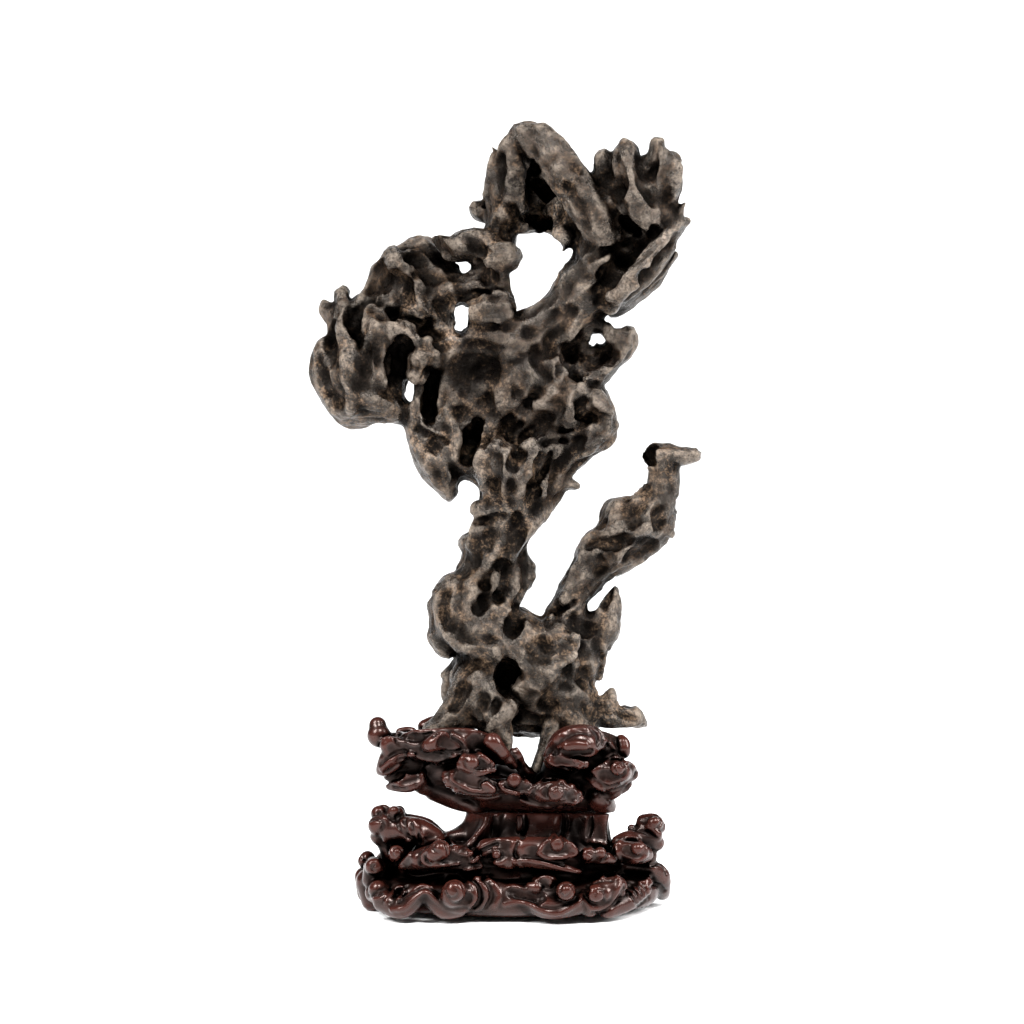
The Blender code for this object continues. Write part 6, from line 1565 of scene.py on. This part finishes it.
def woodMaterial():
    material, tree, skin = newMaterial("polishedRedwood")
    place = addNode(tree, "ShaderNodeTexCoord").outputs["Object"]
    relief, openness = ownValue(tree, "relief"), ownValue(tree, "open")
    tone = noise(tree, place, 0.028, 3.0, 0.55, 0.5)
    cloth = noise(tree, place, 0.007, 4.0, 0.6)
    stretched = addNode(tree, "ShaderNodeMapping")
    feed(tree, stretched, "Vector", place)
    feed(tree, stretched, "Scale", (0.12, 1.0, 1.0))
    grain = noise(tree, stretched.outputs[0], 0.0012, 4.0, 0.6, 0.4)
    # colour by relief: near black in recesses is painted shade, red on raised carving is rubbed wood
    # with some painted highlight
    level = blendOf(tree, (relief, 0.7), (tone, 0.3))
    colour = ramp(
        tree,
        level,
        [(0.36, woodFinish["deep"]), (0.50, woodFinish["body"]), (0.68, woodFinish["red"])],
    )
    # a dull film is left where no cloth reaches
    film = step(tree, cloth, 0.44, 0.60, 0.05, 0.45)
    film = calc(tree, "MULTIPLY", step(tree, relief, 0.72, 0.35), film)
    colour = mix(tree, film, colour, woodFinish["film"])
    # painted shade: the wood is darkened deep in holes, and its specular level lowered there
    dark = step(tree, openness, 0.25, 0.92, 0.03, 1.0)
    colour = darkened(tree, colour, dark)
    lines = ramp(tree, grain, [(0.35, (0.5, 0.47, 0.45)), (0.6, (1.1, 1.1, 1.1))])
    colour = mix(tree, 0.3, colour, lines, "MULTIPLY")
    link(tree, colour, skin.inputs["Base Color"])
    polish = step(tree, relief, 0.40, 0.65, *woodFinish["rough"])
    rough = calc(tree, "ADD", polish, calc(tree, "MULTIPLY", cloth, 0.08))
    link(tree, rough, skin.inputs["Roughness"])
    normal = bump(tree, grain, 0.2, 0.0002)
    normal = bump(tree, cloth, 0.15, 0.0005, normal)
    link(tree, normal, skin.inputs["Normal"])
    shine = calc(tree, "MULTIPLY", dark, step(tree, relief, 0.42, 0.62, *woodFinish["shine"]))
    link(tree, shine, skin.inputs["Specular IOR Level"])
    skin.inputs["Specular Tint"].default_value = woodFinish["shineTint"]
    return material


stoneClay, stonePoints, stoneQuads = shapeStone()
stone = newMesh("stone_weathered", onObject(stonePoints), stoneQuads)
markRuns(stone, stonePoints)
say("stone: runs marked")
wear = {
    "Stretch": stoneSettings["stretch"],
    "Seed": stoneSettings["seed"],
    "Material": stoneMaterial(),
}
for name in ("scoop", "dent", "pock"):
    for part in ("Size", "Depth"):
        wear[name.title() + " " + part] = stoneSettings[name + part] * mm
useTree(stone, weatheringTree(), wear)
say("stone: weathered")
wornStone = onDrawing(meshArrays(stone.data)[0])
thinTo(stone, stoneSettings["triangles"])
markRelief(stone, "relief", *stoneSettings["relief"])
markRelief(stone, "crease", *stoneSettings["crease"])
markOpenness(stone, stoneClay)
markPaintedLight(stone)
say("stone: %d faces" % len(stone.data.polygons))

wood = woodMaterial()


def carvedTier(name, clay, points, quads):
    tier = newMesh(name, onObject(points), quads)
    tier.data.materials.append(wood)
    thinTo(tier, standSettings["triangles"])
    markRelief(tier, "relief", *standSettings["relief"])
    markOpenness(tier, clay)
    say("%s: %d faces" % (name, len(tier.data.polygons)))
    return tier


standTop = carvedTier("stand_top_carved", *shapeTop(wornStone, stoneQuads))
standBase = carvedTier("stand_base_carved", *shapeBase())

for piece, node, slot in (
    (stone, "stone", "stone"),
    (standTop, "stand_top", "stand_wood"),
    (standBase, "stand_base", "stand_wood"),
):
    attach(piece, "root")
    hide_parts(node)


floorSettings = {
    "front": -3.0,
    "back": 3.2,
    "halfWidth": 4.0,
    "bend": 1.5,
    "bendSteps": 16,
    "wallTop": 5.0,
    "colour": (0.88, 0.88, 0.88, 1),
    "roughness": 0.9,
    "shine": 0.1,
}


# one sheet: floor, a wide curve, then a wall
def floorPiece():
    back, bend, steps = floorSettings["back"], floorSettings["bend"], floorSettings["bendSteps"]
    profile = [(floorSettings["front"], 0.0), (back, 0.0)]
    for i in range(1, steps + 1):
        a = math.pi / 2 * i / steps
        profile.append((back + bend * math.sin(a), bend - bend * math.cos(a)))
    profile.append((back + bend, floorSettings["wallTop"]))
    points = []
    faces = []
    for y, z in profile:
        points += [(-floorSettings["halfWidth"], y, z), (floorSettings["halfWidth"], y, z)]
    for i in range(len(profile) - 1):
        faces.append((2 * i, 2 * i + 1, 2 * i + 3, 2 * i + 2))
    floor = newMesh("floor", np.array(points), np.array(faces))
    floor.data.shade_smooth()
    material, _, skin = newMaterial("paleFloor")
    skin.inputs["Base Color"].default_value = floorSettings["colour"]
    skin.inputs["Roughness"].default_value = floorSettings["roughness"]
    skin.inputs["Specular IOR Level"].default_value = floorSettings["shine"]
    floor.data.materials.append(material)


# Soft boxes: place, size and power; the sun's direction points to it.
studio = {
    "worldStrength": 0.10,
    "sunStrength": 4.4,
    "sunAngle": 10,
    "sunFrom": (0.22, -0.62, 0.85),
    "boxesAim": (0.00485, 0.0, 0.32),
    "leftBox": ((-1.1, -0.9, 1.35), (0.5, 0.9), 80.0),
    "rightBox": ((1.4, -0.3, 1.0), (0.4, 1.1), 56.0),
    "distance": 3.2,
    "frameWidth": 0.768,
    "aimX": 0.00485,
    "aimHeight": 0.30165,
    "sensor": 36,
}


def softLight(name):
    place, size, power = studio[name]
    lamp = bpy.data.lights.new(name, "AREA")
    lamp.shape = "RECTANGLE"
    lamp.size, lamp.size_y = size
    lamp.energy = power
    holder = bpy.data.objects.new(name, lamp)
    holder.location = place
    towards = Vector(studio["boxesAim"]) - Vector(place)
    holder.rotation_euler = towards.to_track_quat("-Z", "Y").to_euler()
    bpy.context.scene.collection.objects.link(holder)


floorPiece()
softLight("leftBox")
softLight("rightBox")
sun = bpy.data.lights.new("key", "SUN")
sun.energy = studio["sunStrength"]
sun.angle = math.radians(studio["sunAngle"])
key = bpy.data.objects.new("key", sun)
key.rotation_euler = Vector(studio["sunFrom"]).to_track_quat("Z", "Y").to_euler()
bpy.context.scene.collection.objects.link(key)
bpy.context.scene.view_settings.view_transform = "Standard"

world = bpy.data.worlds.new("studio")
bpy.context.scene.world = world
world.use_nodes = True
world.node_tree.nodes["Background"].inputs["Color"].default_value = (1, 1, 1, 1)
world.node_tree.nodes["Background"].inputs["Strength"].default_value = studio["worldStrength"]

lens = bpy.data.cameras.new("camera")
lens.sensor_width = studio["sensor"]
lens.lens = studio["sensor"] * studio["distance"] / studio["frameWidth"]
camera = bpy.data.objects.new("camera", lens)
away = Vector((0, -cosTilt, sinTilt)) * studio["distance"]
camera.location = Vector((studio["aimX"], 0, studio["aimHeight"])) + away
camera.rotation_euler = (-away).to_track_quat("-Z", "Y").to_euler()
bpy.context.scene.collection.objects.link(camera)
bpy.context.scene.camera = camera
say("floor, lights and camera set")

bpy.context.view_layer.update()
say("done")
